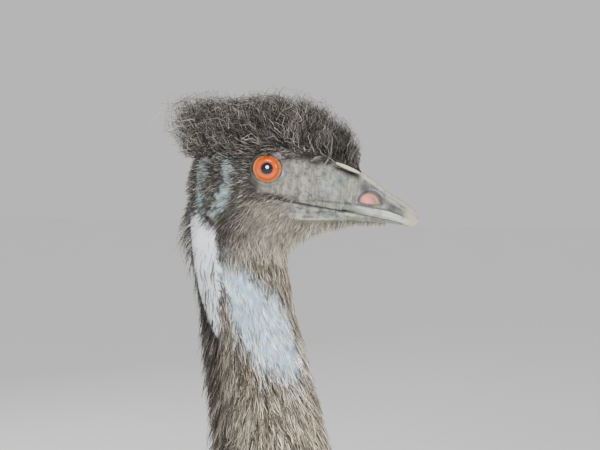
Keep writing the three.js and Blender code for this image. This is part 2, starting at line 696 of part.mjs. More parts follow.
function toeScutes(line, hand) {
  return Object.entries(TOES).flatMap(([which, toe]) => {
    const way = toeWay(toe, hand);
    const count = SCUTES.toe[which];
    return Array.from({ length: count }, (_, i) => {
      const from = 0.3 + (0.56 * i) / count;
      const stations = [from, from + 0.5 / count].map((t, end) => ({
        at: toePoint(line, way, t * toe.length, toe.radius * mix(1.3, 0.84, t)),
        across: toe.radius * mix(0.62, 0.42, t), along: way,
        upper: toe.radius * 0.42 + (end ? SCUTES.toeRaised : 0.4),
      }));
      return sweep(stations, 6, V(-way.y, way.x, 0));
    });
  });
}

// Nostril: an oval pocket in each side of the upper bill.
const nostril = (hand) => egg(V(EYE.x + NOSTRIL.x, hand * NOSTRIL.y, EYE.z + NOSTRIL.z),
  [NOSTRIL.deep, NOSTRIL.high, NOSTRIL.long], V(1, 0, -0.5), 8, 5);

// The solid on the first grid that leaves it closed.
function cleaned(solid) {
  for (const grid of GRIDS) {
    try {
      return largest(onGrid(solid, grid));
    } catch {
      continue;
    }
  }
  throw new Error("a piece stays open on every grid");
}

const parts = [];
const add = (name, solid, material) => parts.push({ name, solid: cleaned(solid), material });

// Legs: the middle line of the thigh and shank on one side.
function legLine(hand, step) {
  const y = hand * LEG.halfStance;
  return {
    hip: V(LEG.hipX, y * 0.9, LEG.hipZ), knee: V(LEG.kneeX + step * 0.5, y, LEG.kneeZ),
    hock: V(LEG.hockX + step, y, LEG.hockZ), ankle: V(LEG.ankleX + step, y, LEG.ankleZ),
  };
}

const hockWay = (line) => line.hock.clone().sub(line.knee).normalize();

function thighSolid(line) {
  const at = (a, b, t) => a.clone().lerp(b, t);
  const size = (across, upper) => ({ across: LEG.thighAcross * across, upper: LEG.thighDeep * upper });
  return sweep([
    { at: line.hip, ...size(1, 1) },
    { at: at(line.hip, line.knee, 0.5), ...size(1, 1) },
    { at: at(line.knee, line.hock, 0.05), ...size(0.94, 0.88) },
    { at: at(line.knee, line.hock, 0.35), ...size(0.8, 0.68) },
    { at: at(line.knee, line.hock, 0.62), ...size(0.62, 0.48) },
    { at: at(line.knee, line.hock, LEG.thighEnd), along: hockWay(line),
      across: LEG.hockAcross * 1.12, upper: LEG.hockDeep * 1.05 },
  ], 12);
}

function shankSolid(line) {
  const at = (t) => line.hock.clone().lerp(line.ankle, t);
  const above = line.knee.clone().lerp(line.hock, LEG.thighEnd).addScaledVector(hockWay(line), GAP);
  const { hockAcross, hockDeep, shankAcross, shankDeep } = LEG;
  return sweep([
    { at: above, along: hockWay(line), across: hockAcross * 0.98, upper: hockDeep * 0.9 },
    { at: at(-0.02), across: hockAcross, upper: hockDeep },
    { at: at(0.06), across: hockAcross * 0.96, upper: hockDeep * 0.92 },
    { at: at(0.14), across: shankAcross * 1.15, upper: shankDeep * 1.12 },
    { at: at(0.4), across: shankAcross, upper: shankDeep },
    { at: at(0.75), across: shankAcross, upper: shankDeep },
    { at: at(0.92), across: shankAcross * 1.25, upper: shankDeep * 1.1 },
    { at: at(1), across: shankAcross * 1.5, upper: shankDeep * 1.2 },
  ], 10);
}

function toeWay(toe, hand) {
  const turn = rad(toe.turn) * hand;
  return V(Math.cos(turn), Math.sin(turn), 0);
}

const toePoint = (line, way, distance, z) => V(line.ankle.x, line.ankle.y, z).addScaledVector(way, distance);

function toeSolid(line, toe, hand) {
  const way = toeWay(toe, hand);
  const count = 4;
  const stations = Array.from({ length: count + 1 }, (_, i) => {
    const t = i / count;
    const pad = 1 + 0.09 * Math.cos(6 * Math.PI * t);
    const radius = toe.radius * mix(1.05, 0.62, t ** 1.4) * pad * (t > 0.98 ? 0.7 : 1);
    return { at: toePoint(line, way, t * toe.length, radius * 0.92), across: radius, upper: radius };
  });
  return sweep(stations, 8, V(-way.y, way.x, 0));
}

function clawSolid(line, toe, hand, more = 0) {
  const way = toeWay(toe, hand);
  const base = toe.length - CLAW.sunk;
  const size = CLAW.radius * (toe.radius / 15.5);
  const shape = [[0, 0.9, 1], [0.35, 0.88, 0.95], [0.7, 0.6, 0.7], [1, 0.12, 0.36]];
  const stations = shape.map(([t, radius, height], i) => ({
    at: toePoint(line, way, base + t * CLAW.length - (i ? 0 : more), size * height + 1.2),
    across: radius * size + more, upper: radius * size + more, lower: radius * size * 0.8 + more,
  }));
  return sweep(stations, 6, V(-way.y, way.x, 0));
}

function footSolid(line, hand) {
  const toes = Object.values(TOES).map((toe) => toeSolid(line, toe, hand));
  const heel = egg(V(line.ankle.x - 4, line.ankle.y, 15), [30, 24, 22], V(0, 0, 1), 10, 4);
  const up = line.hock.clone().sub(line.ankle).normalize();
  const ankle = sweep([
    { at: line.ankle.clone().setZ(6), across: 24, upper: 27 },
    { at: line.ankle.clone().setZ(24), across: 23, upper: 24 },
    { at: line.ankle.clone().addScaledVector(up, -GAP),
      across: LEG.shankAcross * 1.5, upper: LEG.shankDeep * 1.2, along: up },
  ], 10);
  return join([...toes, heel, ankle]);
}

const floorCut = boxFrom(V(-900, -900, -400), V(900, 900, 0));

// Wing: a small arm that hangs at the shoulder.
function wingSolid(hand, more = 0) {
  const stations = WING_ROWS.map(([x, y, z, across, upper]) => (
    { at: V(x, hand * y, z), across: across + more, upper: upper + more }));
  return sweep(stations, 10, V(1, 0, 0));
}

const legs = { right: legLine(SIDES.right, STEP.right), left: legLine(SIDES.left, STEP.left) };
const core = bodySolid(COAT.core);
const coreGrown = bodySolid(COAT.core + GAP);
const behindTail = boxFrom(V(-900, -600, 300), V(BODY.tailPlaneX - GAP / 2, 600, 1300));
const beforeTail = boxFrom(V(BODY.tailPlaneX + GAP / 2, -600, 300), V(900, 600, 1300));
const [upperCut, lowerCut] = NECK_CUTS;

// The cores of the pieces that carry locks.
const cores = {
  neck_upper: neckSolid(upperCut + GAP, NECK_TOP_Z - GAP, 4, COAT.neckShare),
  neck_middle: neckSolid(lowerCut + GAP, upperCut, 4, COAT.neckShare),
  neck_lower: largest(neckSolid(880, lowerCut, 7, COAT.neckShare).subtract(coreGrown)),
  torso: core.intersect(beforeTail),
  tail: core.add(egg(rumpMiddle, rumpHalves, V(0, 0, 1), 14, 8)).intersect(behindTail),
};
let head = join([headSolid(), neckSolid(NECK_TOP_Z, 1478, 3, COAT.neckShare)])
  .intersect(neckHalfSpace(NECK_TOP_Z, true));
head = join([head, lidRing(-1), lidRing(1)])
  .intersect(boxFrom(V(EYE.x - 200, -200, 1300), V(EYE.x + BILL_STATIONS[0] - GAP, 200, 1700)));

for (const [side, hand] of Object.entries(SIDES)) {
  const line = legs[side];
  const eyeHole = egg(eyeMiddle(hand), Array(3).fill(EYE.ball + GAP), eyeAxis(hand), 14, 8);
  head = head.subtract(eyeHole).subtract(earEgg(hand, GAP)).subtract(mouthSlot(hand));
  add(`eye_${side}`, egg(eyeMiddle(hand), Array(3).fill(EYE.ball), eyeAxis(hand), 14, 8), IRIS);
  add(`ear_${side}`, earSolid(hand), FACE_SKIN);
  add(`shank_${side}`, join([shankSolid(line), ...shankScutes(line)]), SCALED_SKIN);
  let foot = join([footSolid(line, hand).subtract(floorCut), ...toeScutes(line, hand)]);
  for (const [which, toe] of Object.entries(TOES)) {
    foot = foot.subtract(clawSolid(line, toe, hand, GAP));
    add(`claw_${side}_${which}`, clawSolid(line, toe, hand), CLAW_HORN);
  }
  add(`foot_${side}`, largest(foot), SCALED_SKIN);
  cores[`wing_${side}`] = largest(wingSolid(hand).subtract(coreGrown));
  cores[`thigh_${side}`] = largest(thighSolid(line).subtract(coreGrown));
  cores.torso = cores.torso.subtract(wingSolid(hand, GAP));
}
add("bill_upper", billSolid(upperBillRing).subtract(nostril(-1)).subtract(nostril(1)), HORN);
add("bill_lower", billSolid(lowerBillRing), HORN);

// The locks go on piece by piece, each clear of all the others.
function others(name) {
  const all = [...Object.entries(cores), ["head", head], ...parts.map((part) => [part.name, part.solid])];
  return join(all.filter(([other]) => other !== name).map(([, solid]) => solid));
}
const napeRoots = neckRoots(NECK_LOCK_ROWS.nape, 4, LOCKS.neckUpper, rad(70));
head = withLocks(largest(head), [...crestRoots(), ...napeRoots], others("head"));
const coats = {
  neck_upper: () => neckRoots(NECK_LOCK_ROWS.upper, 6, LOCKS.neckUpper),
  neck_middle: () => neckRoots(NECK_LOCK_ROWS.middle, 6, LOCKS.neckMiddle),
  wing_right: () => wingRoots(-1), wing_left: () => wingRoots(1),
  thigh_right: () => thighRoots(legs.right), thigh_left: () => thighRoots(legs.left),
  neck_lower: () => neckRoots(NECK_LOCK_ROWS.lower, 7, LOCKS.neckLower),
  torso: () => [...torsoRoots(), ...breastRoots()],
  tail: tailRoots,
};
for (const [name, roots] of Object.entries(coats))
  cores[name] = withLocks(largest(cores[name]), roots(), others(name));

const COAT_FINISHES = { neck_upper: NECK_SKIN, neck_middle: DARK_FEATHER, neck_lower: DARK_FEATHER };
add("head", head, FACE_SKIN);
for (const [name, solid] of Object.entries(cores))
  add(name, solid, COAT_FINISHES[name] ?? FEATHER);

const emu = new THREE.Group();
emu.position.x = -BOX_MIDDLE_X;
for (const { name, solid, material } of parts) {
  const { vertProperties, triVerts } = solid.getMesh();
  const geometry = new THREE.BufferGeometry()
    .setAttribute("position", new THREE.BufferAttribute(vertProperties, 3))
    .setIndex(new THREE.BufferAttribute(triVerts, 1));
  geometry.computeVertexNormals();
  const mesh = new THREE.Mesh(geometry, material);
  mesh.name = name;
  emu.add(mesh);
}

export default emu;
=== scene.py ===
"""An adult emu on both feet: one skin, bill, eyes, claws, scutes and a coat of hair-like feathers."""
import math

import bpy
import numpy as np
from mathutils import Matrix, Vector


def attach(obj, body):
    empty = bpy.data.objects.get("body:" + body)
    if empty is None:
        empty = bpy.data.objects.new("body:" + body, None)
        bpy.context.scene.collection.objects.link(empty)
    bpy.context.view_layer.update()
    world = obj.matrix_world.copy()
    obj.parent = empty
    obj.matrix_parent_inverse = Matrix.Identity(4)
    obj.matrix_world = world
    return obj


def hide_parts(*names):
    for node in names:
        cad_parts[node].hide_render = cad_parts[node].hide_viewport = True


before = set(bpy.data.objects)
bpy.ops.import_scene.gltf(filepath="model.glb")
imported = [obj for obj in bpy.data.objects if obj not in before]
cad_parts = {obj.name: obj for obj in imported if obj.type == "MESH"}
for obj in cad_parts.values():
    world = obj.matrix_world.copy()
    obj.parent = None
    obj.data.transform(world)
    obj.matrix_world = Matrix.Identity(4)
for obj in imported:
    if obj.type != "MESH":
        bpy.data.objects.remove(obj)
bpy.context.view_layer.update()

# Sizes are in millimetres, in the bird's own frame: x ahead, y to its left, z up from the floor.
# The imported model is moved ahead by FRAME_X, so that its box stands over the origin.
FRAME_X = 44.0
TO_METRES = 0.001
SEED = 4127

# Body: the middle and half sizes of the body and of the rump behind it, with SKIN_MORE added round the body.
# BODY_MEAN and RUMP_MEAN turn a share of their reach into millimetres. The neck's form ends at NECK_LOW and
# NECK_HIGH. The coat keeps within COAT_HALF of the middle plane.
BODY_X, BODY_LONG, BODY_Z = -50, 360, 842
BODY_WIDE, BODY_RISE, BODY_DROP = 184, 178, 182
BODY_ROUND, TAIL_DROOP, BODY_MEAN = 2.4, 60, 175
SKIN_MORE = 6
RUMP_AT, RUMP_HALF, RUMP_MEAN = (-352, 0, 790), (72, 122, 128), 95
NECK_LOW, NECK_HIGH = 880, 1474
COAT_HALF = 236

# Head and bill: the left eye's middle and the place beside it in the middle plane, then distances ahead of it.
EYE_AT = np.array([330.0, 22.5, 1510.0])
EYE_LEVEL = EYE_AT * np.array([1, 0, 1])
EYE_BALL, EYE_TURN, EYE_OPENING, PUPIL = 15.5, math.radians(12), 12.4, 5.1
BILL_BACK, BILL_TIP, LOWER_BILL_TIP = 60.0, 129.0, 121.5
HEAD_BACK, GAPE_X = -74, 1.3
SKIN_END_LOW, SKIN_END_HIGH = 71.0, 82.0

# Legs: the left foot stands FOOT_STEP back, the right one ahead. Toes have a length, a turn outwards in
# degrees and a radius.
HALF_STANCE = 92
FOOT_STEP = 14
TOES = [("inner", 92, -30, 12.5), ("middle", 146, 2, 15.5), ("outer", 96, 34, 12.5)]
CLAW_LONG, CLAW_SUNK, CLAW_RADIUS = 26, 6, 6.2
ANKLE_X, ANKLE_Z = -66, 40
HOCK_X, HOCK_Z = -100, 428
LEG_LOW, LEG_HIGH = 14, 780

HANDS = {"right": -1, "left": 1}
MIRROR, UP = np.array([1, -1, 1]), np.array([0, 0, 1.0])


# Small tools for numbers.
def smooth(value, low, high):
    t = np.clip((value - low) / (high - low), 0, 1)
    return t * t * (3 - 2 * t)


def mix(a, b, t):
    return a + (b - a) * t


def unit(v):
    return v / np.maximum(np.linalg.norm(v, axis=-1, keepdims=True), 1e-9)


def stacked(x, y, z):
    """Points or directions from three sets of values, any of which may be a single number."""
    return np.stack(np.broadcast_arrays(x, y, z), -1)


def from_eye(p):
    """How far ahead of the eye, how far above it and how far from the middle plane each point is."""
    return p[:, 0] - EYE_AT[0], p[:, 2] - EYE_AT[2], np.abs(p[:, 1])


def ridge_at(value, at, width):
    """A bump of height 1 where a value passes a place."""
    return np.exp(-((value - at) / width) ** 2)


def through(rows, samples=600):
    """A smooth function through rows of [key, value, ...], as one array for each value."""
    rows = np.array(rows, float)
    keys = rows[:, 0]
    ahead = np.vstack([rows[1:], rows[-1:]])
    behind = np.vstack([rows[:1], rows[:-1]])
    slopes = (ahead - behind) / (ahead[:, :1] - behind[:, :1])
    fine = np.linspace(keys[0], keys[-1], samples)
    i = np.clip(np.searchsorted(keys, fine, "right") - 1, 0, len(keys) - 2)
    span = (keys[i + 1] - keys[i])[:, None]
    t = (fine[:, None] - keys[i][:, None]) / span
    curve = (rows[i] * (2 * t**3 - 3 * t**2 + 1) + slopes[i] * span * (t**3 - 2 * t**2 + t)
             + rows[i + 1] * (3 * t**2 - 2 * t**3) + slopes[i + 1] * span * (t**3 - t**2))
    return lambda key: [np.interp(key, fine, curve[:, k]) for k in range(1, rows.shape[1])]


def merge(a, b, width):
    """The smooth union of two distances."""
    h = np.clip(0.5 + 0.5 * (b - a) / width, 0, 1)
    return mix(b, a, h) - width * h * (1 - h)


def ripple(p, size, seed, waves=7):
    """A soft noise between about -1 and 1 with lumps of a size, the same on every run."""
    rng = np.random.default_rng(seed)
    ways = unit(rng.normal(size=(waves, 3))) * (2 * math.pi / size) * rng.uniform(0.6, 1.5, (waves, 1))
    phases = rng.uniform(0, 2 * math.pi, waves)
    return np.sin(p @ ways.T + phases).sum(-1) / 3.2


def blob(x, z, at_x, at_z, size_x, size_z):
    """A bump of height 1 round a place seen from the side, counted from the eye."""
    return np.exp(-(((x - at_x) / size_x) ** 2 + ((z - at_z) / size_z) ** 2))


def near_line(x, z, points):
    """The distance from a line of [x, z, radius] points, less the radius there."""
    best = np.full(np.shape(x), 1e9)
    for (ax, az, ar), (bx, bz, br) in zip(points, points[1:]):
        t = np.clip(((x - ax) * (bx - ax) + (z - az) * (bz - az)) / ((bx - ax) ** 2 + (bz - az) ** 2), 0, 1)
        away = np.hypot(x - mix(ax, bx, t), z - mix(az, bz, t)) - mix(ar, br, t)
        best = np.minimum(best, away)
    return best


# Forms: distances from the skin, in millimetres, less than 0 inside it.
def body_form(x, y, z):
    share = (x - BODY_X) / (BODY_LONG + SKIN_MORE)
    middle = BODY_Z - TAIL_DROOP * np.minimum(share, 0) ** 2
    high = np.where(z > middle, BODY_RISE, BODY_DROP) + SKIN_MORE
    wide = BODY_WIDE + SKIN_MORE
    reach = np.sqrt(np.abs(share) ** BODY_ROUND + (y / wide) ** 2 + ((z - middle) / high) ** 2)
    return (reach - 1) * BODY_MEAN


def rump_form(x, y, z):
    (ax, ay, az), (rx, ry, rz) = RUMP_AT, RUMP_HALF
    return (np.sqrt(((x - ax) / rx) ** 2 + ((y - ay) / ry) ** 2 + ((z - az) / rz) ** 2) - 1) * RUMP_MEAN


# Neck, by height: the middle's x, then the reach ahead, behind and to each side.
neck_at = through([
    [880, 190, 118, 108, 103], [965, 262, 98, 90, 86], [1045, 308, 70, 66, 63], [1130, 333, 52, 52, 50],
    [1210, 336, 43, 45, 41], [1270, 330, 38, 44, 37.5], [1355, 315, 34.5, 44, 35], [1420, 303, 35.5, 48, 33.5],
    [1475, 298, 36, 48, 31],
])


def neck_station(x, z):
    """The nearest height of the neck's middle line, with the reach there and the line's slope."""
    height = np.array(z, float)
    for _ in range(3):
        middle = neck_at(height)[0]
        slope = (neck_at(height + 2)[0] - neck_at(height - 2)[0]) / 4
        height = height + ((x - middle) * slope + (z - height)) / (1 + slope**2)
        height = np.clip(height, 800, 1500)
    middle, ahead, behind, beside = neck_at(height)
    slope = (neck_at(height + 2)[0] - neck_at(height - 2)[0]) / 4
    return height, middle, slope, ahead, behind, beside


def neck_form(x, y, z):
    height, middle, slope, ahead, behind, beside = neck_station(x, z)
    length = np.sqrt(1 + slope**2)
    off = ((x - middle) - (z - height) * slope) / length
    along = np.abs((z - height) + (x - middle) * slope) / length
    reach = np.where(off > 0, ahead, behind)
    value = (np.hypot(y / beside, off / reach) - 1) * np.minimum(beside, reach)
    past = np.maximum(np.maximum(NECK_LOW - height, height - NECK_HIGH), 0)
    return value + past + np.minimum(along, 50) * (along > 3)


# Head, by distance ahead of the eye: top and bottom, half width and the height where it is widest.
head_at = through([
    [HEAD_BACK, -2, -34, 8, -16], [-66, 17, -50, 19, -13], [-55, 28, -60, 26, -10], [-42, 36, -66, 30.5, -8],
    [-25, 40, -69, 33.5, -6], [-8, 42, -69, 35, -2], [10, 41, -66.5, 34.5, -2], [28, 36, -59, 31, -8],
    [45, 27, -52.5, 27, -16], [60, 14.6, -48, 23.5, -22], [68, 7.6, -47, 22, -24], [74, 2.2, -46, 20.8, -25],
    [78, -1.9, -45.5, 19.8, -26], [84, -8, -45, 18.2, -27],
])

# The mouth's line behind the bill, by distance ahead of the eye: the lip's upper edge, the mouth,
# and the lower lip's edge.
mouth_at = through([
    [GAPE_X, -25.5, -26.0, -32], [15, -26.0, -28.0, -40], [28, -26.6, -30.4, -43.6],
    [45, -27.6, -33.4, -44.2], [62, -29.2, -36.0, -43.6], [72, -30.4, -37.4, -43.4],
])


def lip_height(px):
    """The pale lip at the forehead's front edge, over the bill's root."""
    return 3.4 - 0.446 * (px - 61.7)


def under_lip(px, pz):
    """The hollow under that lip, from 0 to 1."""
    return ridge_at(pz, lip_height(px) - 3.2, 2.9) * smooth(px, 55, 61) * smooth(px, 82, 76)


def eye_offset(x, y, z):
    """Across and along the axis of the eye on the point's own side."""
    dx, dy, dz = x - EYE_AT[0], np.abs(y) - EYE_AT[1], z - EYE_AT[2]
    along = dx * math.sin(EYE_TURN) + dy * math.cos(EYE_TURN)
    away = np.sqrt(np.maximum(dx**2 + dy**2 + dz**2 - along**2, 0))
    return away, along, np.sqrt(dx**2 + dy**2 + dz**2)


def chin_form(px, pz, side):
    """The pad of skin between the jaws, under the bill."""
    share = np.clip((px - 52) / 50, 0, 1)
    middle = mix(-41.0, -46.4, share)
    deep, wide = mix(8.6, 1.7, share**0.8), mix(15.0, 8.0, share)
    value = (np.sqrt((side / wide) ** 2 + ((pz - middle) / deep) ** 2) - 1) * deep
    return value + np.maximum(px - 101, 0) + np.maximum(46 - px, 0) * 0.5


# Swellings and hollows of the head's side: how high, where from the eye, and how far they spread.
HEAD_BUMPS = [
    (2.6, 40, -9, 15, 13), (1.0, 58, -14, 8, 12), (-2.4, 14, 17, 15, 5), (-1.6, -8, -30, 13, 11),
    (1.8, -26, 2, 8, 14), (-1.2, 30, -20, 16, 5), (-0.7, -34, -8, 4, 16),
]


def head_core(x, y, z):
    """The head without the cut at its front."""
    px, pz, side = x - EYE_AT[0], z - EYE_AT[2], np.abs(y)
    top, bottom, across, level = head_at(px)
    up = np.where(pz > level, top - level, level - bottom)
    value = (np.hypot(y / across, (pz - level) / up) - 1) * np.minimum(across, up)
    value = value + np.maximum(HEAD_BACK - px, 0)
    out = smooth(side, 8, 16)
    value = value + out * (sum(high * blob(px, pz, *place) for high, *place in HEAD_BUMPS) + 3.4 * under_lip(px, pz))
    folds = np.sin(px * 0.9 + 1.3 * np.sin(pz * 0.21) + 2.0 * ripple(stacked(x, 0, z), 30, 8))
    value = value - 0.32 * folds * out * blob(px, pz, 30, -10, 15, 12)
    _, mouth, low = mouth_at(px)
    behind = smooth(px, GAPE_X - 4, GAPE_X + 8)
    value = value + out * behind * (
        1.9 * ridge_at(pz, mouth, 1.3) - 0.9 * ridge_at(pz, low, 1.6) + 0.8 * ridge_at(pz, low + 3.4, 1.7))
    away, along, centre = eye_offset(x, y, z)
    value = merge(value, centre - EYE_BALL - 1.5, 7)
    crease = 0.55 * np.cos((away - EYE_OPENING - 2.2) * 2 * math.pi / 3.3)
    value = value - crease * smooth(away, EYE_OPENING - 1, EYE_OPENING + 2) * smooth(away, 24, 17)
    value = np.maximum(value, EYE_BALL - 0.3 - centre)
    corner = 1.6 * blob(px, pz, 13, -4, 3.0, 3.0)
    opening = np.where(along > 0, EYE_OPENING + corner - 1.0 * smooth(pz, 6, 12) - away, -9)
    value = np.maximum(value, opening)
    ear = np.sqrt(((px + 46) / 4.2) ** 2 + ((side - 28.5) / 6.5) ** 2 + ((pz + 3) / 5.6) ** 2)
    value = np.maximum(value, (1 - ear) * 4)
    fine = stacked(x, side, z)
    return value - 0.22 * ripple(fine, 7, 5) - 0.35 * ripple(fine, 19, 6)


def head_form(x, y, z):
    """The head, cut where the bill takes over: further ahead above the lip than under it."""
    px, pz, side = x - EYE_AT[0], z - EYE_AT[2], np.abs(y)
    value = head_core(x, y, z)
    above = pz - lip_height(px)
    cap = mix(SKIN_END_LOW, SKIN_END_HIGH, smooth(above, -1.6, 0.4))
    value = np.maximum(value + 0.5 * smooth(px, 66, 70) * smooth(above, 0, -2), px - cap)
    return merge(value, chin_form(px, pz, side), 1.5)


def head_side(x, z):
    """How far the head's skin stands from the middle at places counted from the eye."""
    side = np.full(len(x), 40.0)
    for _ in range(30):
        value = head_core(x + EYE_AT[0], side, z + EYE_AT[2])
        side = np.maximum(side - np.clip(value, -2, 2) * 0.7, 0.0)
    return side


# Leg, by height: the middle's x, then the reach ahead and to each side.
leg_at = through([
    [20, -66, 24, 24], [40, -66, 21, 22], [71, -68.7, 19, 18], [100, -71.2, 17.8, 15.2], [137, -74.5, 17, 14.3],
    [272, -86.4, 17, 14.3], [360, -94, 18.4, 15.4], [398, -97.5, 24.5, 21], [428, -100, 29, 23],
    [458, -86, 29.5, 24], [509, -61, 36, 28], [566, -32, 52, 37], [630, 2, 68, 45], [700, -6, 74, 48],
    [780, -20, 70, 46],
])
leg_step = through([[40, 1], [428, 1], [640, 0.5], [770, 0]])


def leg_form(x, y, z):
    middle, deep, wide = leg_at(z)
    middle = middle - leg_step(z)[0] * FOOT_STEP * np.sign(y)
    value = (np.hypot((x - middle) / deep, (np.abs(y) - HALF_STANCE) / wide) - 1) * np.minimum(deep, wide)
    return value + np.maximum(z - LEG_HIGH, 0) + np.maximum(LEG_LOW - z, 0)


def toe_way(turn, hand=1):
    """The way a toe points and the way across it."""
    angle = math.radians(turn) * hand
    return np.array([math.cos(angle), math.sin(angle), 0]), np.array([-math.sin(angle), math.cos(angle), 0])


def toe_thickness(radius, t):
    """A toe's half thickness, with its pads, from the foot at 0 to the tip at 1."""
    return radius * mix(1.05, 0.6, t**1.4) * (1 + 0.09 * np.cos(6 * math.pi * t)) * 0.96


def leg_point(x, z, hand):
    return np.array([x - FOOT_STEP * hand, hand * HALF_STANCE, z], float)


def foot_form(x, y, z):
    hand = np.sign(y)
    ax, ay = x - (ANKLE_X - FOOT_STEP * hand), np.abs(y) - HALF_STANCE
    value = (np.sqrt(((ax + 4) / 29) ** 2 + (ay / 23) ** 2 + ((z - 15) / 21) ** 2) - 1) * 21
    for _, length, turn, radius in TOES:
        way, _ = toe_way(turn)
        t = np.clip((ax * way[0] + ay * way[1]) / length, 0, 0.97)
        size = toe_thickness(radius, t)
        off = np.hypot(ax - way[0] * length * t, ay - way[1] * length * t)
        value = merge(value, np.hypot(off, z - size * 0.9) - size, 3)
    return np.maximum(value, -z)


# Wing: the small arm at the shoulder, as points down its length with their reach.
WING = [(176, 150, 914, 15), (166, 176, 878, 13), (140, 192, 826, 12), (108, 198, 776, 9)]


def wing_form(x, y, z):
    value = np.full(np.shape(x), 1e9)
    for (ax, ay, az, ar), (bx, by, bz, br) in zip(WING, WING[1:]):
        a, b = np.array([ax, ay, az], float), np.array([bx, by, bz], float)
        p = stacked(x, np.abs(y), z) - a
        t = np.clip(p @ (b - a) / ((b - a) @ (b - a)), 0, 1)
        value = np.minimum(value, np.linalg.norm(p - t[..., None] * (b - a), axis=-1) - mix(ar, br, t))
    return value


def upper_form(x, y, z):
    return merge(head_form(x, y, z), neck_form(x, y, z), 12)


def trunk_form(x, y, z):
    value = merge(body_form(x, y, z), rump_form(x, y, z), 60)
    value = merge(value, neck_form(x, y, z), 45)
    value = merge(value, wing_form(x, y, z), 12)
    return merge(value, leg_form(x, y, z), 30)


def lower_form(x, y, z):
    return merge(leg_form(x, y, z), foot_form(x, y, z), 8)


def outward(form, p):
    """The distance from a form and the way out of it, at each point."""
    step = 0.8
    here = form(*p.T)
    slope = np.stack([(form(*(p + d).T) - form(*(p - d).T)) / (2 * step) for d in np.eye(3) * step], -1)
    steep = np.maximum(np.linalg.norm(slope, axis=-1), 1e-6)
    return here / steep, slope / steep[:, None]


# Meshes.
def shell(form, xs, ys, zs):
    """A form's skin: a point in each cell of a grid that it passes through, joined to quads."""
    x, y, z = np.meshgrid(xs, ys, zs, indexing="ij")
    grid = form(x.ravel(), y.ravel(), z.ravel()).reshape(x.shape)
    inside = grid < 0
    corners = [(a, b, c) for a in (0, 1) for b in (0, 1) for c in (0, 1)]
    sizes = [n - 1 for n in grid.shape]
    window = lambda array, a, b, c: array[a:a + sizes[0], b:b + sizes[1], c:c + sizes[2]]
    count = sum(window(inside, *corner).astype(np.int8) for corner in corners)
    active = (count > 0) & (count < 8)
    number = np.full(active.shape, -1, np.int64)
    number[active] = np.arange(active.sum())
    i, j, k = np.nonzero(active)
    total = np.zeros((len(i), 3))
    hits = np.zeros(len(i))
    for a in corners:
        for axis in range(3):
            if a[axis]:
                continue
            b = list(a)
            b[axis] = 1
            va, vb = grid[i + a[0], j + a[1], k + a[2]], grid[i + b[0], j + b[1], k + b[2]]
            cut = (va < 0) != (vb < 0)
            t = np.where(cut, va / np.where(cut, va - vb, 1), 0)
            pa = np.stack([xs[i + a[0]], ys[j + a[1]], zs[k + a[2]]], -1)
            pb = np.stack([xs[i + b[0]], ys[j + b[1]], zs[k + b[2]]], -1)
            total += np.where(cut[:, None], mix(pa, pb, t[:, None]), 0)
            hits += cut
    points = total / hits[:, None]
    quads = []
    for axis in range(3):
        u, v = [(1, 2), (2, 0), (0, 1)][axis]
        ends = [slice(1, -1)] * 3
        low, high = list(ends), list(ends)
        low[axis], high[axis] = slice(0, -1), slice(1, None)
        changed = inside[tuple(low)] != inside[tuple(high)]
        at = np.array(np.nonzero(changed)).T
        at += np.array([0 if n == axis else 1 for n in range(3)])
        outer = ~inside[tuple(at.T)]
        ring = []
        for du, dv in [(-1, -1), (0, -1), (0, 0), (-1, 0)]:
            cell = at.copy()
            cell[:, u] += du
            cell[:, v] += dv
            ring.append(number[tuple(cell.T)])
        quad = np.stack(ring, -1)
        quad[outer] = quad[outer][:, ::-1]
        quads.append(quad)
    return points, np.concatenate(quads)


def spaced(*stretches):
    """Grid lines from (start, end, step) stretches that follow one another."""
    lines = [np.arange(start, end, step) for start, end, step in stretches]
    return np.concatenate([*lines, [stretches[-1][1]]]).astype(float)


def to_scene(points):
    return (np.asarray(points, float) + np.array([FRAME_X, 0, 0])) * TO_METRES


def mesh_piece(name, points, faces, colour, values=None, uvs=None, soft=True):
    """A mesh object from points in millimetres and faces of three or four corners, none under the floor."""
    faces = np.asarray(faces)
    points = np.column_stack([points[:, :2], np.maximum(points[:, 2], 0)])
    mesh = bpy.data.meshes.new(name)
    mesh.vertices.add(len(points))
    mesh.vertices.foreach_set("co", to_scene(points).astype(np.float32).ravel())
    mesh.loops.add(faces.size)
    mesh.loops.foreach_set("vertex_index", faces.ravel().astype(np.int32))
    mesh.polygons.add(len(faces))
    mesh.polygons.foreach_set("loop_start", np.arange(0, faces.size, faces.shape[1], dtype=np.int32))
    mesh.update(calc_edges=True)
    mesh.polygons.foreach_set("use_smooth", np.full(len(faces), soft))
    layer = mesh.attributes.new("markings", "FLOAT_COLOR", "POINT")
    opaque = np.column_stack([colour, np.ones(len(colour))])
    layer.data.foreach_set("color", opaque.astype(np.float32).ravel())
    for key, value in (values or {}).items():
        layer = mesh.attributes.new(key, "FLOAT", "POINT")
        layer.data.foreach_set("value", np.asarray(value, np.float32))
    if uvs is not None:
        layer = mesh.uv_layers.new(name="OFBake")
        layer.data.foreach_set("uv", uvs[faces.ravel()].astype(np.float32).ravel())
    piece = bpy.data.objects.new(name, mesh)
    bpy.context.scene.collection.objects.link(piece)
    return piece


def facing_out(points, faces):
    """A closed mesh's triangles, turned over where they point inwards."""
    a, b, c = (points[faces[:, n]] - points.mean(0) for n in range(3))
    return faces[:, ::-1] if np.einsum("ij,ij->", a, np.cross(b, c)) < 0 else faces


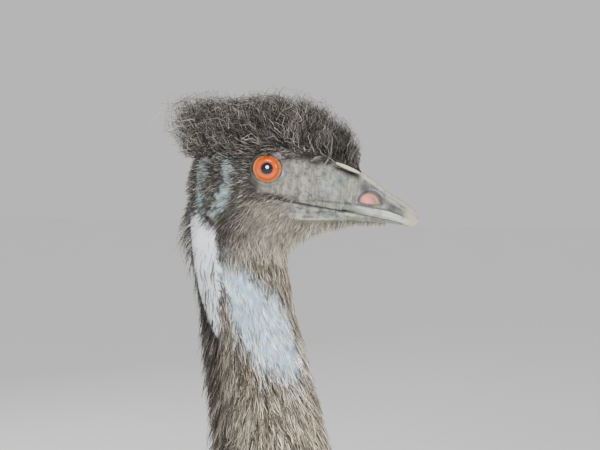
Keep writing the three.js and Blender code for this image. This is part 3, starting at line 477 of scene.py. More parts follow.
def ring_mesh(rings, close=True):
    """Points and quads from rings of points (stations, sides, 3), closed at both ends by a middle point."""
    stations, sides, _ = rings.shape
    points = [rings.reshape(-1, 3)]
    i, k = np.meshgrid(np.arange(stations - 1), np.arange(sides), indexing="ij")
    n = (k + 1) % sides
    quads = np.stack([i * sides + k, i * sides + n, (i + 1) * sides + n, (i + 1) * sides + k], -1).reshape(-1, 4)
    tris = np.concatenate([quads[:, [0, 1, 2]], quads[:, [0, 2, 3]]])
    if close:
        points += [rings[0].mean(0)[None], rings[-1].mean(0)[None]]
        k = np.arange(sides)
        n = (k + 1) % sides
        last = (stations - 1) * sides
        first_fan = np.stack([np.full(sides, stations * sides), n, k], -1)
        last_fan = np.stack([np.full(sides, stations * sides + 1), last + k, last + n], -1)
        tris = np.concatenate([tris, first_fan, last_fan])
    points = np.concatenate(points)
    return points, facing_out(points, tris) if close else tris


def round_section(line, radius, side, up, sides, flat=1.0):
    """Rings round the points of a line, flattened along their first side."""
    turn = np.linspace(0, 2 * math.pi, sides, endpoint=False)[None, :, None]
    return line[:, None] + radius[:, None, None] * (np.cos(turn) * side[:, None] * flat + np.sin(turn) * up[:, None])


def tube(line, radius, sides, flat=1.0):
    """A closed tube along a line, with a radius at each point."""
    along = unit(np.gradient(line, axis=0))
    side = unit(np.cross(along, [0.0, 0.0, 1.0]))
    return ring_mesh(round_section(line, radius, side, np.cross(side, along), sides, flat))


def joined(shapes):
    """Several meshes of triangles as one."""
    points, faces, start = [], [], 0
    for p, f in shapes:
        points.append(p)
        faces.append(f + start)
        start += len(p)
    return np.concatenate(points), np.concatenate(faces)


# Markings, shared by skin and coat. Places on head and neck are counted from the eye.
WHITE_PATCH = [[-68, -52, 12], [-62, -66, 19], [-61, -92, 21], [-57, -114, 17], [-51, -134, 9], [-45, -148, 4]]
BLUE_PATCH = [[-40, -80, 7], [-26, -98, 15], [-12, -122, 23], [2, -144, 25], [14, -164, 18], [20, -178, 9]]
EAR_SKIN = [[-64, -46, 7], [-64, -20, 6], [-60, 5, 5], [-50, 15, 4.5], [-38, 12, 4.5], [-33, 0, 5], [-34, -14, 4],
            [-40, -28, 6], [-47, -40, 6]]
BARE_FACE = [[-2, -16, 4.2], [12, -12, 10.4], [26, -9, 17], [44, -13, 17], [64, -18, 17]]


def bare_patches(p):
    """How white, how blue, how pale by the ear and how bare on the face, each from 0 to 1."""
    x, z, side = from_eye(p)
    ragged = ripple(p, 9, 11) * 2.6 + ripple(p, 4, 12) * 1.6 * (1 + smooth(z, -70, -120))
    white = smooth(-near_line(x, z, WHITE_PATCH) + ragged, -1.5, 2.5) * smooth(side, 1, 4)
    blue = smooth(-near_line(x, z, BLUE_PATCH) + ragged * 1.6, -5, 6) * smooth(side, 3, 12)
    ear = smooth(-near_line(x, z, EAR_SKIN) + ragged * 0.9, -3, 3) * smooth(side, 9, 15)
    face = smooth(-near_line(x, z, BARE_FACE) + ragged * 0.5, -3, 4) * smooth(side, 6, 13)
    return white, blue, ear, face


def paint(base, layers):
    """Colours laid over one another, each with its own mask."""
    colour = np.array(base, float) * np.ones((len(layers[0][0]), 1))
    for mask, over in layers:
        colour = mix(colour, np.array(over, float), np.clip(mask, 0, 1)[:, None])
    return colour


WHITE_SKIN, BLUE_SKIN, EAR_BLUE = (0.92, 0.96, 1.0), (0.42, 0.60, 0.78), (0.30, 0.41, 0.41)
FACE_GREY, DARK_SKIN, CHIN_GREY = (0.215, 0.203, 0.170), (0.035, 0.033, 0.032), (0.24, 0.225, 0.18)
# The third colour here is painted shade: near-black in the hollow under the pale lip over the bill's root.
MEMBRANE, SCALY, HOLLOW_SHADE = (0.20, 0.218, 0.20), (0.085, 0.07, 0.055), (0.016, 0.015, 0.018)
# Painted highlight and painted glint: a pinkish-white highlight on the wet fold over the front of the eye, and a pale
# bluish glint at the eye's front corner.
PINK_LID_HIGHLIGHT, CORNER_GLINT = (0.85, 0.66, 0.70), (0.50, 0.56, 0.68)
GUM_GREY, UPPER_HORN, LOWER_HORN = (0.17, 0.168, 0.145), (0.115, 0.13, 0.115), (0.10, 0.11, 0.10)
UPRIGHT, LENGTHWISE = np.array([1.0, 0, 0.3]), np.array([0.35, 0, 1.0])


def weathered(p, grey, strength=1.0):
    """Bare skin and bill root alike: pale upright streaks, dark and brown blotches, a blue bloom."""
    x, z, _ = from_eye(p)
    upright = p * UPRIGHT
    return paint(grey, [
        (0.85 * strength * smooth(ripple(upright, 8, 21), 0.0, 0.8), (0.37, 0.35, 0.285)),
        (0.75 * strength * smooth(ripple(p, 7, 22), 0.0, 0.9), (0.085, 0.09, 0.082)),
        (0.6 * strength * smooth(ripple(upright, 3.2, 35), 0.1, 0.9), (0.45, 0.43, 0.36)),
        (0.75 * strength * blob(x, z, 56, -16, 9, 11) * smooth(ripple(p, 5, 28), -0.5, 0.6), (0.36, 0.41, 0.48)),
        (0.55 * strength * smooth(ripple(p, 8, 24), 0.2, 0.9), (0.27, 0.20, 0.15)),
        (0.5 * strength * smooth(ripple(p, 10, 29), 0.2, 0.9), (0.17, 0.22, 0.175)),
        (0.5 * strength * smooth(ripple(upright, 3.0, 25), 0.2, 0.9), (0.075, 0.077, 0.07)),
        (0.3 * strength * smooth(ripple(p, 2.2, 30), 0.3, 1.0), (0.46, 0.46, 0.42)),
    ])


def gum_layers(p, pale, dark, blue):
    """Pale and dark streaks along the gums and a blue bloom, each with its own mask."""
    level = p * LENGTHWISE
    return [
        (pale * smooth(ripple(level, 3.6, 27), 0.0, 0.7) * 0.85, (0.44, 0.43, 0.37)),
        (dark * smooth(ripple(level, 5, 26), 0.1, 0.8) * 0.6, (0.055, 0.058, 0.055)),
        (blue * smooth(ripple(p, 5, 37), 0.2, 0.9) * 0.6, (0.30, 0.37, 0.44)),
    ]


def skin_colour(p):
    x, z, side = from_eye(p)
    white, blue, ear, face = bare_patches(p)
    away, along, _ = eye_offset(*p.T)
    chin = smooth(z, -26, -36) * smooth(x, -26, 0) * smooth(z, -110, -80)
    lid = smooth(away, 19, 14) * (along > 4)
    # Painted highlight: a pinkish-white spot on the wet fold ahead of and above the eye.
    lid_highlight = blob(x, z, 14.5, 11.5, 4.0, 1.8) * (along > 0)
    # Painted glint: a pale bluish spot at the eye's front corner.
    corner = blob(x, z, 15.2, -4.5, 1.8, 1.8) * (along > 0)
    # Above and behind the eye the skin goes as dark as the crown's: the brow's own dark skin, deepened by painted shade
    # under the brow.
    dark_brow_and_shade = smooth(away, 21, 16) * (along > 4) * smooth(z - 0.9 * x, -2, 8)
    legs = smooth(z, -1010, -1040)
    nape = smooth(z, -60, -75) * smooth(z, -260, -180)
    warm = smooth(z, -150, -190) * 0.6
    top_line, mouth, low_lip = mouth_at(x)
    on_side = smooth(side, 8, 14)
    gums = smooth(x, GAPE_X + 4, 26) * smooth(z, mouth + 1, mouth - 1) * smooth(z, low_lip - 2.5, low_lip) * on_side
    # Masks for painted shade in the mouth's seam and in the groove along the lip's upper edge.
    line = ridge_at(z, mouth, 0.9) * smooth(x, GAPE_X - 3, GAPE_X + 3) * on_side
    groove = ridge_at(z, top_line, 0.8) * smooth(x, 34, 50) * on_side
    root = smooth(x, 54, 62) * smooth(z, lip_height(x) + 1, lip_height(x) - 1) * smooth(side, 6, 11)
    ahead = weathered(p, MEMBRANE)
    gum = mix(weathered(p, GUM_GREY), ahead, smooth(x, 30, 52)[:, None])
    speck = smooth(-near_line(x, z, WHITE_PATCH), 8, 2) * smooth(z, -60, -96)
    speck = speck * smooth(ripple(p, 2.8, 36), 0.25, 0.55)
    return paint(DARK_SKIN, [
        (nape, (0.06, 0.06, 0.064)), (warm, (0.09, 0.07, 0.055)), (chin, CHIN_GREY),
        (ear * 0.85, EAR_BLUE), (ear * smooth(ripple(p, 5, 34), 0, 0.8) * 0.6, (0.50, 0.58, 0.56)),
        # Painted shade: near-black in the hollow under the lip over the bill's root.
        (face, weathered(p, FACE_GREY)), (root, ahead), (under_lip(x, z) * smooth(side, 5, 9), HOLLOW_SHADE),
        (lid * 0.6, (0.13, 0.132, 0.12)), (0.92 * dark_brow_and_shade, DARK_SKIN), (lid_highlight, PINK_LID_HIGHLIGHT), (corner, CORNER_GLINT),
        (gums, gum), *gum_layers(p, gums, gums, gums),
        # Painted shade: a dark line in the groove along the lip's upper edge, and a near-black line in the mouth's
        # seam.
        (groove * 0.7, (0.03, 0.03, 0.03)), (line * 0.95, (0.012, 0.012, 0.012)),
        (blue * 0.9, BLUE_SKIN), (blue * smooth(ripple(p, 12, 23), -0.1, 0.8) * 0.8, (0.80, 0.90, 0.98)),
        (white, WHITE_SKIN), (white * speck * 0.85, (0.07, 0.07, 0.065)), (legs, SCALY),
    ])


# Shader groups that several materials use.
def group_tree(name, inputs, outputs):
    tree = bpy.data.node_groups.new(name, "ShaderNodeTree")
    for key, value in inputs.items():
        socket = tree.interface.new_socket(key, in_out="INPUT", socket_type="NodeSocketFloat")
        socket.default_value = value
    for key in outputs:
        tree.interface.new_socket(key, in_out="OUTPUT", socket_type="NodeSocketFloat")
    return tree, tree.nodes.new("NodeGroupInput"), tree.nodes.new("NodeGroupOutput")


def math_node(tree, kind, a, b, clamp=False):
    node = tree.nodes.new("ShaderNodeMath")
    node.operation = kind
    node.use_clamp = clamp
    for socket, value in zip(node.inputs, (a, b)):
        if isinstance(value, (int, float)):
            socket.default_value = value
        else:
            tree.links.new(value, socket)
    return node.outputs[0]


def mottle_group():
    """Blotches and grain on Object coordinates, about 1 on average."""
    values = {"Blotch Scale": 60, "Grain Scale": 900, "Amount": 0.3}
    tree, given, result = group_tree("mottle", values, ["Shade", "Grain"])
    where = tree.nodes.new("ShaderNodeTexCoord").outputs["Object"]
    noises = []
    for key in ("Blotch Scale", "Grain Scale"):
        noise = tree.nodes.new("ShaderNodeTexNoise")
        noise.inputs["Detail"].default_value = 3
        tree.links.new(where, noise.inputs["Vector"])
        tree.links.new(given.outputs[key], noise.inputs["Scale"])
        noises.append(noise.outputs["Fac"])
    both = math_node(tree, "ADD", noises[0], noises[1])
    centred = math_node(tree, "SUBTRACT", both, 1.0)
    scaled = math_node(tree, "MULTIPLY", centred, given.outputs["Amount"])
    tree.links.new(math_node(tree, "ADD", scaled, 1.0), result.inputs["Shade"])
    tree.links.new(noises[1], result.inputs["Grain"])
    return tree


def pebble_group():
    """The height of small raised plates or pores, on Object coordinates."""
    tree, given, result = group_tree("pebble", {"Scale": 500, "Edge": 0.25}, ["Height"])
    where = tree.nodes.new("ShaderNodeTexCoord").outputs["Object"]
    cells = tree.nodes.new("ShaderNodeTexVoronoi")
    cells.feature = "DISTANCE_TO_EDGE"
    tree.links.new(where, cells.inputs["Vector"])
    tree.links.new(given.outputs["Scale"], cells.inputs["Scale"])
    share = math_node(tree, "DIVIDE", cells.outputs["Distance"], given.outputs["Edge"], clamp=True)
    tree.links.new(math_node(tree, "POWER", share, 0.6), result.inputs["Height"])
    return tree


MOTTLE, PEBBLE = mottle_group(), pebble_group()


class Finish:
    """A material with its Principled shader and short ways to add nodes."""

    def __init__(self, name, roughness, **constants):
        self.material = bpy.data.materials.new(name)
        self.material.use_nodes = True
        self.tree = self.material.node_tree
        self.shader = self.tree.nodes["Principled BSDF"]
        self.shader.inputs["Roughness"].default_value = roughness
        for key, value in constants.items():
            self.shader.inputs[key.replace("_", " ")].default_value = value

    def node(self, kind, **values):
        node = self.tree.nodes.new(kind)
        for key, value in values.items():
            node.inputs[key.replace("_", " ")].default_value = value
        return node

    def use(self, group, **values):
        node = self.tree.nodes.new("ShaderNodeGroup")
        node.node_tree = group
        for key, value in values.items():
            node.inputs[key.replace("_", " ")].default_value = value
        return node

    def attribute(self, name, output="Fac"):
        node = self.tree.nodes.new("ShaderNodeAttribute")
        node.attribute_name = name
        return node.outputs[output]

    def link(self, a, b):
        self.tree.links.new(a, b)

    def shaded(self, colour, shade):
        """A colour made lighter or darker by a value."""
        node = self.tree.nodes.new("ShaderNodeVectorMath")
        node.operation = "SCALE"
        self.link(colour, node.inputs[0])
        self.link(shade, node.inputs["Scale"])
        return node.outputs[0]

    def marked(self, blotch, grain, amount):
        """Colours the shader by the mesh's markings, mottled; the mottle's grain."""
        mottle = self.use(MOTTLE, Blotch_Scale=blotch, Grain_Scale=grain, Amount=amount)
        self.put("Base Color", self.shaded(self.attribute("markings", "Color"), mottle.outputs["Shade"]))
        return mottle.outputs["Grain"]

    def bump(self, height, strength, distance, before=None):
        node = self.node("ShaderNodeBump", Strength=strength, Distance=distance)
        self.link(height, node.inputs["Height"])
        if before is not None:
            self.link(before, node.inputs["Normal"])
        return node.outputs[0]

    def put(self, key, output):
        self.link(output, self.shader.inputs[key])


def skin_finish():
    finish = Finish("skin", 0.58, Specular_IOR_Level=0.35)
    grain = finish.marked(55, 1400, 0.55)
    pores = finish.use(PEBBLE, Scale=620, Edge=0.3)
    scales = finish.use(PEBBLE, Scale=150, Edge=0.18)
    fine = finish.bump(pores.outputs["Height"], 0.35, 0.0004)
    scaly = math_node(finish.tree, "MULTIPLY", scales.outputs["Height"], finish.attribute("scaly"))
    plates = finish.bump(scaly, 0.8, 0.0012, fine)
    finish.put("Normal", finish.bump(grain, 0.25, 0.0003, plates))
    return finish.material


def coat_finish(name, roughness, root_shade, tip_shade):
    """Feather material: the markings, mottled, darker or lighter to the tip."""
    finish = Finish(name, roughness, Specular_IOR_Level=0.35)
    mottle = finish.use(MOTTLE, Blotch_Scale=38, Grain_Scale=700, Amount=0.5)
    shaded = finish.shaded(finish.attribute("markings", "Color"), mottle.outputs["Shade"])
    ramp = finish.node("ShaderNodeMapRange")
    finish.link(finish.attribute("along"), ramp.inputs["Value"])
    ramp.interpolation_type = "SMOOTHSTEP"
    for key, value in (("From Min", 0.2), ("From Max", 0.9), ("To Min", root_shade), ("To Max", tip_shade)):
        ramp.inputs[key].default_value = value
    finish.put("Base Color", finish.shaded(shaded, ramp.outputs[0]))
    return finish.material


def horn_finish(name, roughness, marks, pits, **constants):
    """Bill and claw material: the markings, mottled, over fine pits."""
    finish = Finish(name, roughness, Specular_IOR_Level=0.5, **constants)
    finish.put("Normal", finish.bump(finish.marked(*marks), 0.3, pits))
    return finish.material


def eye_finish():
    finish = Finish("iris", 0.06, Specular_IOR_Level=0.6, Coat_Weight=1.0, Coat_Roughness=0.02)
    finish.marked(300, 1600, 0.35)
    return finish.material


# Eyes.
def eye_frame(hand):
    """The eye's middle and the way it looks."""
    return EYE_AT * np.array([1, hand, 1]), np.array([math.sin(EYE_TURN), hand * math.cos(EYE_TURN), 0])


def make_eye(side, hand):
    """An eyeball with its rings of colour, finest round the pupil."""
    turn = np.linspace(0, 2 * math.pi, 96, endpoint=False)
    lean = np.concatenate([np.linspace(0.004, 1.1, 64), np.linspace(1.14, math.pi - 0.004, 22)])
    centre, axis = eye_frame(hand)
    level = unit(np.cross(axis, [0.0, 0.0, 1.0]))
    up = np.cross(level, axis)
    away = EYE_BALL * np.sin(lean)
    bulge = 0.9 * smooth(away, 12.6, 6.0) * (lean < 1.2)
    radius = (EYE_BALL - 0.45 + bulge)[:, None]
    around = np.cos(turn)[None, :, None] * level + np.sin(turn)[None, :, None] * up
    rings = radius[..., None] * (np.cos(lean)[:, None, None] * axis + np.sin(lean)[:, None, None] * around)
    points, faces = ring_mesh(rings + centre)
    off = points - centre
    along = off @ axis
    away = np.linalg.norm(off - along[:, None] * axis, axis=-1)
    angle = np.arctan2(off @ up, off @ level)
    streak = 0.5 + 0.5 * np.sin(angle * 41 + 3 * np.sin(angle * 7))
    front = along > 0
    colour = paint((0.84, 0.10, 0.0), [
        (0.35 * streak, (0.92, 0.19, 0.004)),
        (smooth(away, 9.8, 11.4), (0.95, 0.42, 0.17)),
        (smooth(away, 7.2, 5.4) * 0.6, (0.36, 0.04, 0.005)),
        (smooth(away, PUPIL + 0.5, PUPIL - 0.4), (0.006, 0.007, 0.014)),
        (smooth(away, 11.9, 12.5), (0.18, 0.12, 0.09)),
        (1.0 - front, (0.3, 0.25, 0.22)),
    ])
    return mesh_piece("eyeball_" + side, points, faces, colour)


def lid_line(hand, reach, lift, corner, count=120):
    """A ring round the eye, on its ball: how far from the axis, how far off the ball, how long a corner."""
    centre, axis = eye_frame(hand)
    ahead = unit(np.array([1.0, 0, 0]) - axis * axis[0])
    turn = np.linspace(0, 2 * math.pi, count, endpoint=False)
    front, back = (np.angle(np.exp(1j * (turn - at))) for at in (-0.33, math.pi + 0.1))
    pull = corner * (ridge_at(front, 0, 0.24) + 0.5 * ridge_at(back, 0, 0.3))
    lower = smooth(np.sin(turn + 0.25), 0.45, 0.95)
    away = reach + pull - lower + 0.25 * np.sin(turn * 3 + 1) + 0.12 * np.sin(turn * 17)
    depth = np.sqrt(np.maximum((EYE_BALL + lift) ** 2 - away**2, 9))
    return centre + depth[:, None] * axis + away[:, None] * (np.cos(turn)[:, None] * ahead + np.sin(turn)[:, None] * UP)


def ring_tube(line, radius, sides=10):
    """A tube round a closed line."""
    along = unit(np.roll(line, -1, 0) - np.roll(line, 1, 0))
    out = unit(line - line.mean(0))
    side = unit(out - along * (out * along).sum(-1, keepdims=True))
    rings = round_section(line, radius, side, np.cross(along, side), sides)
    points, faces = ring_mesh(np.concatenate([rings, rings[:1]]), close=False)
    points, faces = points[:len(line) * sides], faces % (len(line) * sides)
    return points, facing_out(points, faces)


def make_lids(side, hand):
    """Two folds of skin round the eye: a rim that meets the ball and a softer fold outside it."""
    turn = np.linspace(0, 2 * math.pi, 120, endpoint=False)
    upper = smooth(np.sin(turn), -0.2, 0.7)
    rim = ring_tube(lid_line(hand, EYE_OPENING + 0.5, 0.25, 2.4), 0.85 + 0.2 * upper + 0.06 * np.sin(turn * 11))
    under = smooth(np.sin(turn + 0.5), 0.1, -0.5)
    fold = ring_tube(lid_line(hand, EYE_OPENING + 3.2, 0.7, 3.0), 0.35 + 0.75 * under + 0.1 * np.sin(turn * 13))
    points, faces = joined([rim, fold])
    x, z, _ = from_eye(points)
    away, _, _ = eye_offset(*points.T)
    behind = smooth(z - 0.9 * x, -3, 8)
    colour = paint((0.16, 0.165, 0.15), [
        (0.7 * smooth(ripple(points, 4, 31), 0, 1), (0.27, 0.275, 0.24)),
        (0.6 * smooth(ripple(points, 3, 32), 0, 1), (0.07, 0.07, 0.065)),
        (smooth(away, 14.0, 12.6) * 0.8, (0.055, 0.05, 0.045)),
        (smooth(away, 13.6, 12.6) * smooth(z, -5, -10) * 0.8, (0.26, 0.24, 0.20)),
        # Near-black above and behind the eye: the brow's dark skin, deepened by painted shade under the brow.
        (behind * 0.95, (0.022, 0.02, 0.02)),
        # Painted highlight and painted glint: a pinkish-white highlight on the wet upper fold, then a pale bluish glint
        # at the front corner.
        (blob(x, z, 14.5, 11.5, 4.5, 2.4), (0.84, 0.66, 0.70)),
        (blob(x, z, 15.4, -5, 2.0, 2.0), (0.52, 0.58, 0.70)),
    ])
    return mesh_piece("lids_" + side, points, faces, colour, {"scaly": np.zeros(len(points))})


# Bill, by distance ahead of the eye: the ridge, the mouth, the lower edge and the half width.
bill_at = through([
    [56, 12.6, -35.2, -43.4, 22.6], [60, 10.2, -35.8, -43.4, 22.4], [68, 4.6, -37, -43.6, 21.2],
    [74, 0.6, -38.1, -44.0, 20.2], [79, -2.9, -38.9, -44.4, 19.2], [84, -6.0, -39.8, -44.9, 18.0],
    [97, -15.9, -42.4, -46.6, 14.9], [104, -21.4, -43.8, -47.5, 13.0], [110, -25.4, -45.3, -48.4, 11.4],
    [116, -28.8, -47.2, -49.3, 9.4], [120, -31.3, -49.4, -49.8, 7.6], [123.5, -34.0, -50.3, -50.0, 5.8],
    [126.4, -37.2, -49.6, -49.6, 4.0], [128.2, -40.4, -48.0, -48.6, 2.6], [129.0, -43.6, -46.2, -47.6, 1.1],
])
NOSTRIL_X, NOSTRIL_Z, NOSTRIL_LONG, NOSTRIL_UP, NOSTRIL_DOWN, NOSTRIL_SLOPE = 88.4, -29.6, 8.9, 8.4, 1.7, -0.12


def smooth_outline(outline, count):
    """An outline of (side, height) rows as a number of points along a smooth curve."""
    outline = np.array(outline)
    step = np.linalg.norm(np.diff(outline, axis=0), axis=-1)
    key = np.concatenate([[0], np.cumsum(step)])
    key = key / key[-1]
    return np.stack(through(np.column_stack([key, outline]), 300)(np.linspace(0, 1, count)), -1)


def both_halves(rows, mirror=1):
    """Rows for a ring's left half, then the same rows back along its right half."""
    return np.concatenate([rows, rows[::-1][1:] * mirror])


def bill_piece(name, rings, colours):
    points, faces = ring_mesh(np.array(rings))
    colour = np.concatenate([np.array(colours).reshape(-1, 3), [colours[0][0]], [colours[-1][0]]])
    return mesh_piece(name, points + EYE_LEVEL, faces, colour)


def bill_size(x):
    """The bill at a station: its ridge, mouth, lower edge and half width."""
    return (float(v) for v in bill_at(x))


def strip_height(high):
    """The strip over the mouth, by the upper bill's own height."""
    return min(7.6, high * 0.34)


def upper_bill_section(x, count):
    ridge, mouth, _, half = bill_size(x)
    high = ridge - mouth
    strip = strip_height(high)
    top = min(4.4, half * 0.52)
    hollow = 3.6 * half / 20 * (0.4 + 0.6 * float(smooth(x, 58, 70)))
    outline = [
        (half * 0.9, -0.2), (half, strip * 0.3), (half * 0.985, strip * 0.8), (half * 0.95, strip),
        (half - hollow * 0.75, strip + high * 0.06), (half - hollow - high * 0.035, strip + high * 0.18),
        (mix(half, top, 0.55) - hollow * 0.45, high * 0.62), (top + 1.6, high * 0.84),
        (top + 0.9, high * 0.9), (top * 0.8, high * 0.965), (top * 0.35, high * 0.995), (0.0, high),
    ]
    return smooth_outline(outline, count) + np.array([0, mouth])


def make_upper_bill():
    """The upper bill, with a raised ridge, a hollow on each side, a nostril and a strip over the mouth."""
    stations = np.concatenate([np.linspace(BILL_BACK, 118, 92), np.linspace(118.5, BILL_TIP, 30)])
    count = 56
    rings, colours = [], []
    for x in stations:
        side, z = upper_bill_section(x, count).T
        ridge, mouth, _, _ = bill_size(x)
        high = ridge - mouth
        level = (z - mouth) / high
        strip = strip_height(high) / high
        if x < 88:
            skin_side = np.minimum(head_side(np.full(count, min(x, 83.0)), z) - 0.35, 24)
            side = mix(skin_side, side, np.maximum(smooth(x, 67, 87), smooth(level, 0.9, 1.0)))
        lx = (x - NOSTRIL_X) / NOSTRIL_LONG
        rise = z - NOSTRIL_Z - (x - NOSTRIL_X) * NOSTRIL_SLOPE
        far = np.hypot(lx, rise / np.where(rise > 0, NOSTRIL_UP, NOSTRIL_DOWN))
        on_side = smooth(side, 3, 7)
        rim = ridge_at(far, 1.06, 0.17)
        side = side + on_side * (1.7 * smooth(far, 1.0, 0.3) - 1.3 * rim)
        in_strip = smooth(level, strip + 0.02, strip - 0.04)
        lines = 0.5 + 0.5 * np.cos(level / strip * 2 * math.pi * 2.5)
        side = side - 0.18 * in_strip * lines
        half_ring = stacked(x, side, z)
        place = half_ring + EYE_LEVEL
        rings.append(both_halves(half_ring, MIRROR))
        ahead, on_ridge, tip = float(smooth(x, 72, 90)), smooth(level, 0.83, 0.91), float(smooth(x, 114, 123))
        inside = mix(np.array([0.62, 0.20, 0.16]), np.array([0.30, 0.18, 0.125]), float(smooth(lx, -0.3, 0.75)))
        colour = paint(mix(weathered(place, MEMBRANE), weathered(place, UPPER_HORN, 0.45), ahead), [
            (blob(x, z, 84, -17, 8, 4.5) * 0.75, (0.05, 0.045, 0.055)),
            (blob(x, z, 106, -34, 8, 4.5) * 0.6, (0.045, 0.05, 0.05)),
            (blob(x, z, 100, -33.5, 2.5, 2.5) * 0.7, (0.30, 0.32, 0.33)),
            (in_strip * float(smooth(x, 58, 76)), (0.25, 0.275, 0.235)),
            # The pale strip's own colour, with brighter lengthwise lines painted as highlights.
            (in_strip * float(smooth(x, 74, 98)) * (0.55 + 0.45 * lines), (0.62, 0.64, 0.58)),
            (in_strip * smooth(ripple(place, 7, 45), 0.1, 0.9) * 0.5, (0.16, 0.18, 0.15)),
            # Painted shade: a near-black line in the crease along the strip's upper edge.
            (ridge_at(level, strip, 0.035) * 0.85, (0.02, 0.02, 0.02)),
            (on_ridge * float(smooth(x, 70, 79)), (0.44, 0.415, 0.33)),
            (on_ridge * smooth(ripple(place, 6, 46), 0.0, 0.9) * 0.55, (0.24, 0.24, 0.20)),
            (np.full(count, tip * 0.9), (0.47, 0.44, 0.33)),
            # Painted shade: a dark ring in the groove round the nostril.
            (rim * on_side * 0.85, (0.035, 0.03, 0.035)),
            (smooth(far, 1.0, 0.85) * on_side, inside),
            (smooth(far, 0.8, 0.25) * on_side * float(smooth(lx, 0.5, -0.4)) * 0.6, (0.80, 0.36, 0.30)),
            # Painted highlight: a pale pink arc on the upper half of the nostril's flap.
            (on_side * ridge_at(far, 0.72, 0.07) * smooth(rise, 0, 2) * 0.4, (0.85, 0.52, 0.45)),
            # Painted shade: near-black in the hollow under the lip over the bill's root.
            (under_lip(x, z) * on_side, HOLLOW_SHADE),
        ])
        colours.append(both_halves(colour))
    return bill_piece("bill_upper_horn", rings, colours)


def make_lower_bill():
    stations = np.concatenate([np.linspace(BILL_BACK, 114, 60), np.linspace(114.6, LOWER_BILL_TIP, 14)])
    count = 26
    rings, colours = [], []
    for x in stations:
        _, mouth, low, half = bill_size(x)
        half = half - 1.1
        high = max(mouth - low - 0.3, 0.6)
        outline = np.array([(0.4, 0.0), (0.9, -0.03), (1, -0.3), (0.97, -0.62), (0.9, -0.9), (0.72, -1.04),
                            (0.4, -1.08), (0.0, -1.1)]) * (half, high)
        side, z = smooth_outline(outline, count).T
        z = z + mouth - 0.3
        half_ring = stacked(x, side, z)
        place = half_ring + EYE_LEVEL
        rings.append(both_halves(half_ring, MIRROR))
        level = (mouth - z) / high
        ahead = float(smooth(x, 70, 92))
        like_gums = (float(smooth(x, *ends)) for ends in ((90, 66), (96, 70), (84, 62)))
        colour = paint(mix(weathered(place, MEMBRANE), weathered(place, LOWER_HORN, 0.6), ahead), [
            *gum_layers(place, *like_gums),
            # Painted shade: near-black along the lower bill's top edge, in the mouth's seam under the upper bill.
            (smooth(level, 0.1, 0.0) * 0.7, (0.02, 0.02, 0.02)),
            (smooth(level, 0.72, 0.95) * 0.8, (0.36, 0.35, 0.28)),
            (np.full(count, float(smooth(x, 108, 120)) * 0.6), (0.30, 0.30, 0.24)),
        ])
        colours.append(both_halves(colour))
    return bill_piece("bill_lower_horn", rings, colours)


def on_cheek(x, z, hand, lift):
    """Points on the cheek's skin at places counted from the eye."""
    return np.stack([x, hand * (head_side(x, z) + lift), z], -1) + EYE_LEVEL


def make_lips(side, hand):
    """The lip over the mouth, a pale line along the lower lip and the pale lip under the forehead."""
    x = np.linspace(26, 66, 70)
    top, mouth, _ = mouth_at(x)
    middle, half = (top + mouth + 0.8) / 2, np.maximum((top - mouth - 0.8) / 2, 0.25)
    half = half * np.sin(np.linspace(0.25, math.pi / 2, len(x))) + 0.3
    band_line = on_cheek(x, middle, hand, mix(-1.2, -0.45, smooth(x, 26, 48)))
    band = tube(band_line, half, 14, flat=1.0 / np.maximum(half[:, None, None], 0.5) * 1.1)
    x = np.linspace(20, 62, 60)
    rough = 0.5 + 0.5 * smooth(np.sin(x * 1.9 + 2 * np.sin(x * 0.7)), -0.6, 0.6)
    taper = np.sin(np.linspace(0.15, math.pi - 0.4, len(x)))
    edge = tube(on_cheek(x, mouth_at(x)[2], hand, -0.2), 0.8 * rough * taper + 0.12, 8)
    x = np.linspace(59, 79, 32)
    taper = np.sin(np.linspace(0.2, math.pi - 0.15, len(x))) ** 0.6
    ridge = tube(on_cheek(x, lip_height(x) - 0.1, hand, 0.8), 1.8 * taper, 12)
    points, faces = joined([band, edge, ridge])
    colour = weathered(points * np.array([1, hand, 1]), MEMBRANE)
    low_lip = slice(len(band[0]), len(band[0]) + len(edge[0]))
    colour[low_lip] = mix(colour[low_lip], np.array([0.55, 0.47, 0.40]), 0.8)
    ahead, up, _ = from_eye(ridge[0])
    # The pale lip under the forehead, darker on its underside as painted shade.
    shaded_underside = smooth(up - lip_height(ahead), -0.6, -1.8)[:, None]
    colour[low_lip.stop:] = mix(np.array([0.66, 0.62, 0.45]), np.array([0.22, 0.20, 0.15]), shaded_underside)
    return mesh_piece("lips_" + side, points, faces, colour, {"scaly": np.zeros(len(points))})


# Claws and scutes.
def make_claws():
    shapes = []
    for hand in HANDS.values():
        for _, length, turn, radius in TOES:
            way, _ = toe_way(turn, hand)
            size = CLAW_RADIUS * radius / TOES[1][3]
            t = np.linspace(0, 1, 16)
            radii = size * np.interp(t, [0, 0.35, 0.7, 1], [0.98, 0.93, 0.66, 0.12])
            height = size * np.interp(t, [0, 0.35, 0.7, 1], [1.05, 0.98, 0.72, 0.36]) + 1.2
            reach = length - CLAW_SUNK + t * CLAW_LONG
            line = leg_point(ANKLE_X, 0, hand) + reach[:, None] * way + height[:, None] * UP
            shapes.append(tube(line, radii, 14))
    points, faces = joined(shapes)
    colour = paint((0.03, 0.026, 0.023), [(smooth(ripple(points, 9, 51), 0, 1) * 0.4, (0.07, 0.06, 0.05))])
    return mesh_piece("claws", points, faces, colour)


SCUTES, SCUTES_START = 24, 0.13
TOE_SCUTES = {"inner": 9, "middle": 15, "outer": 9}


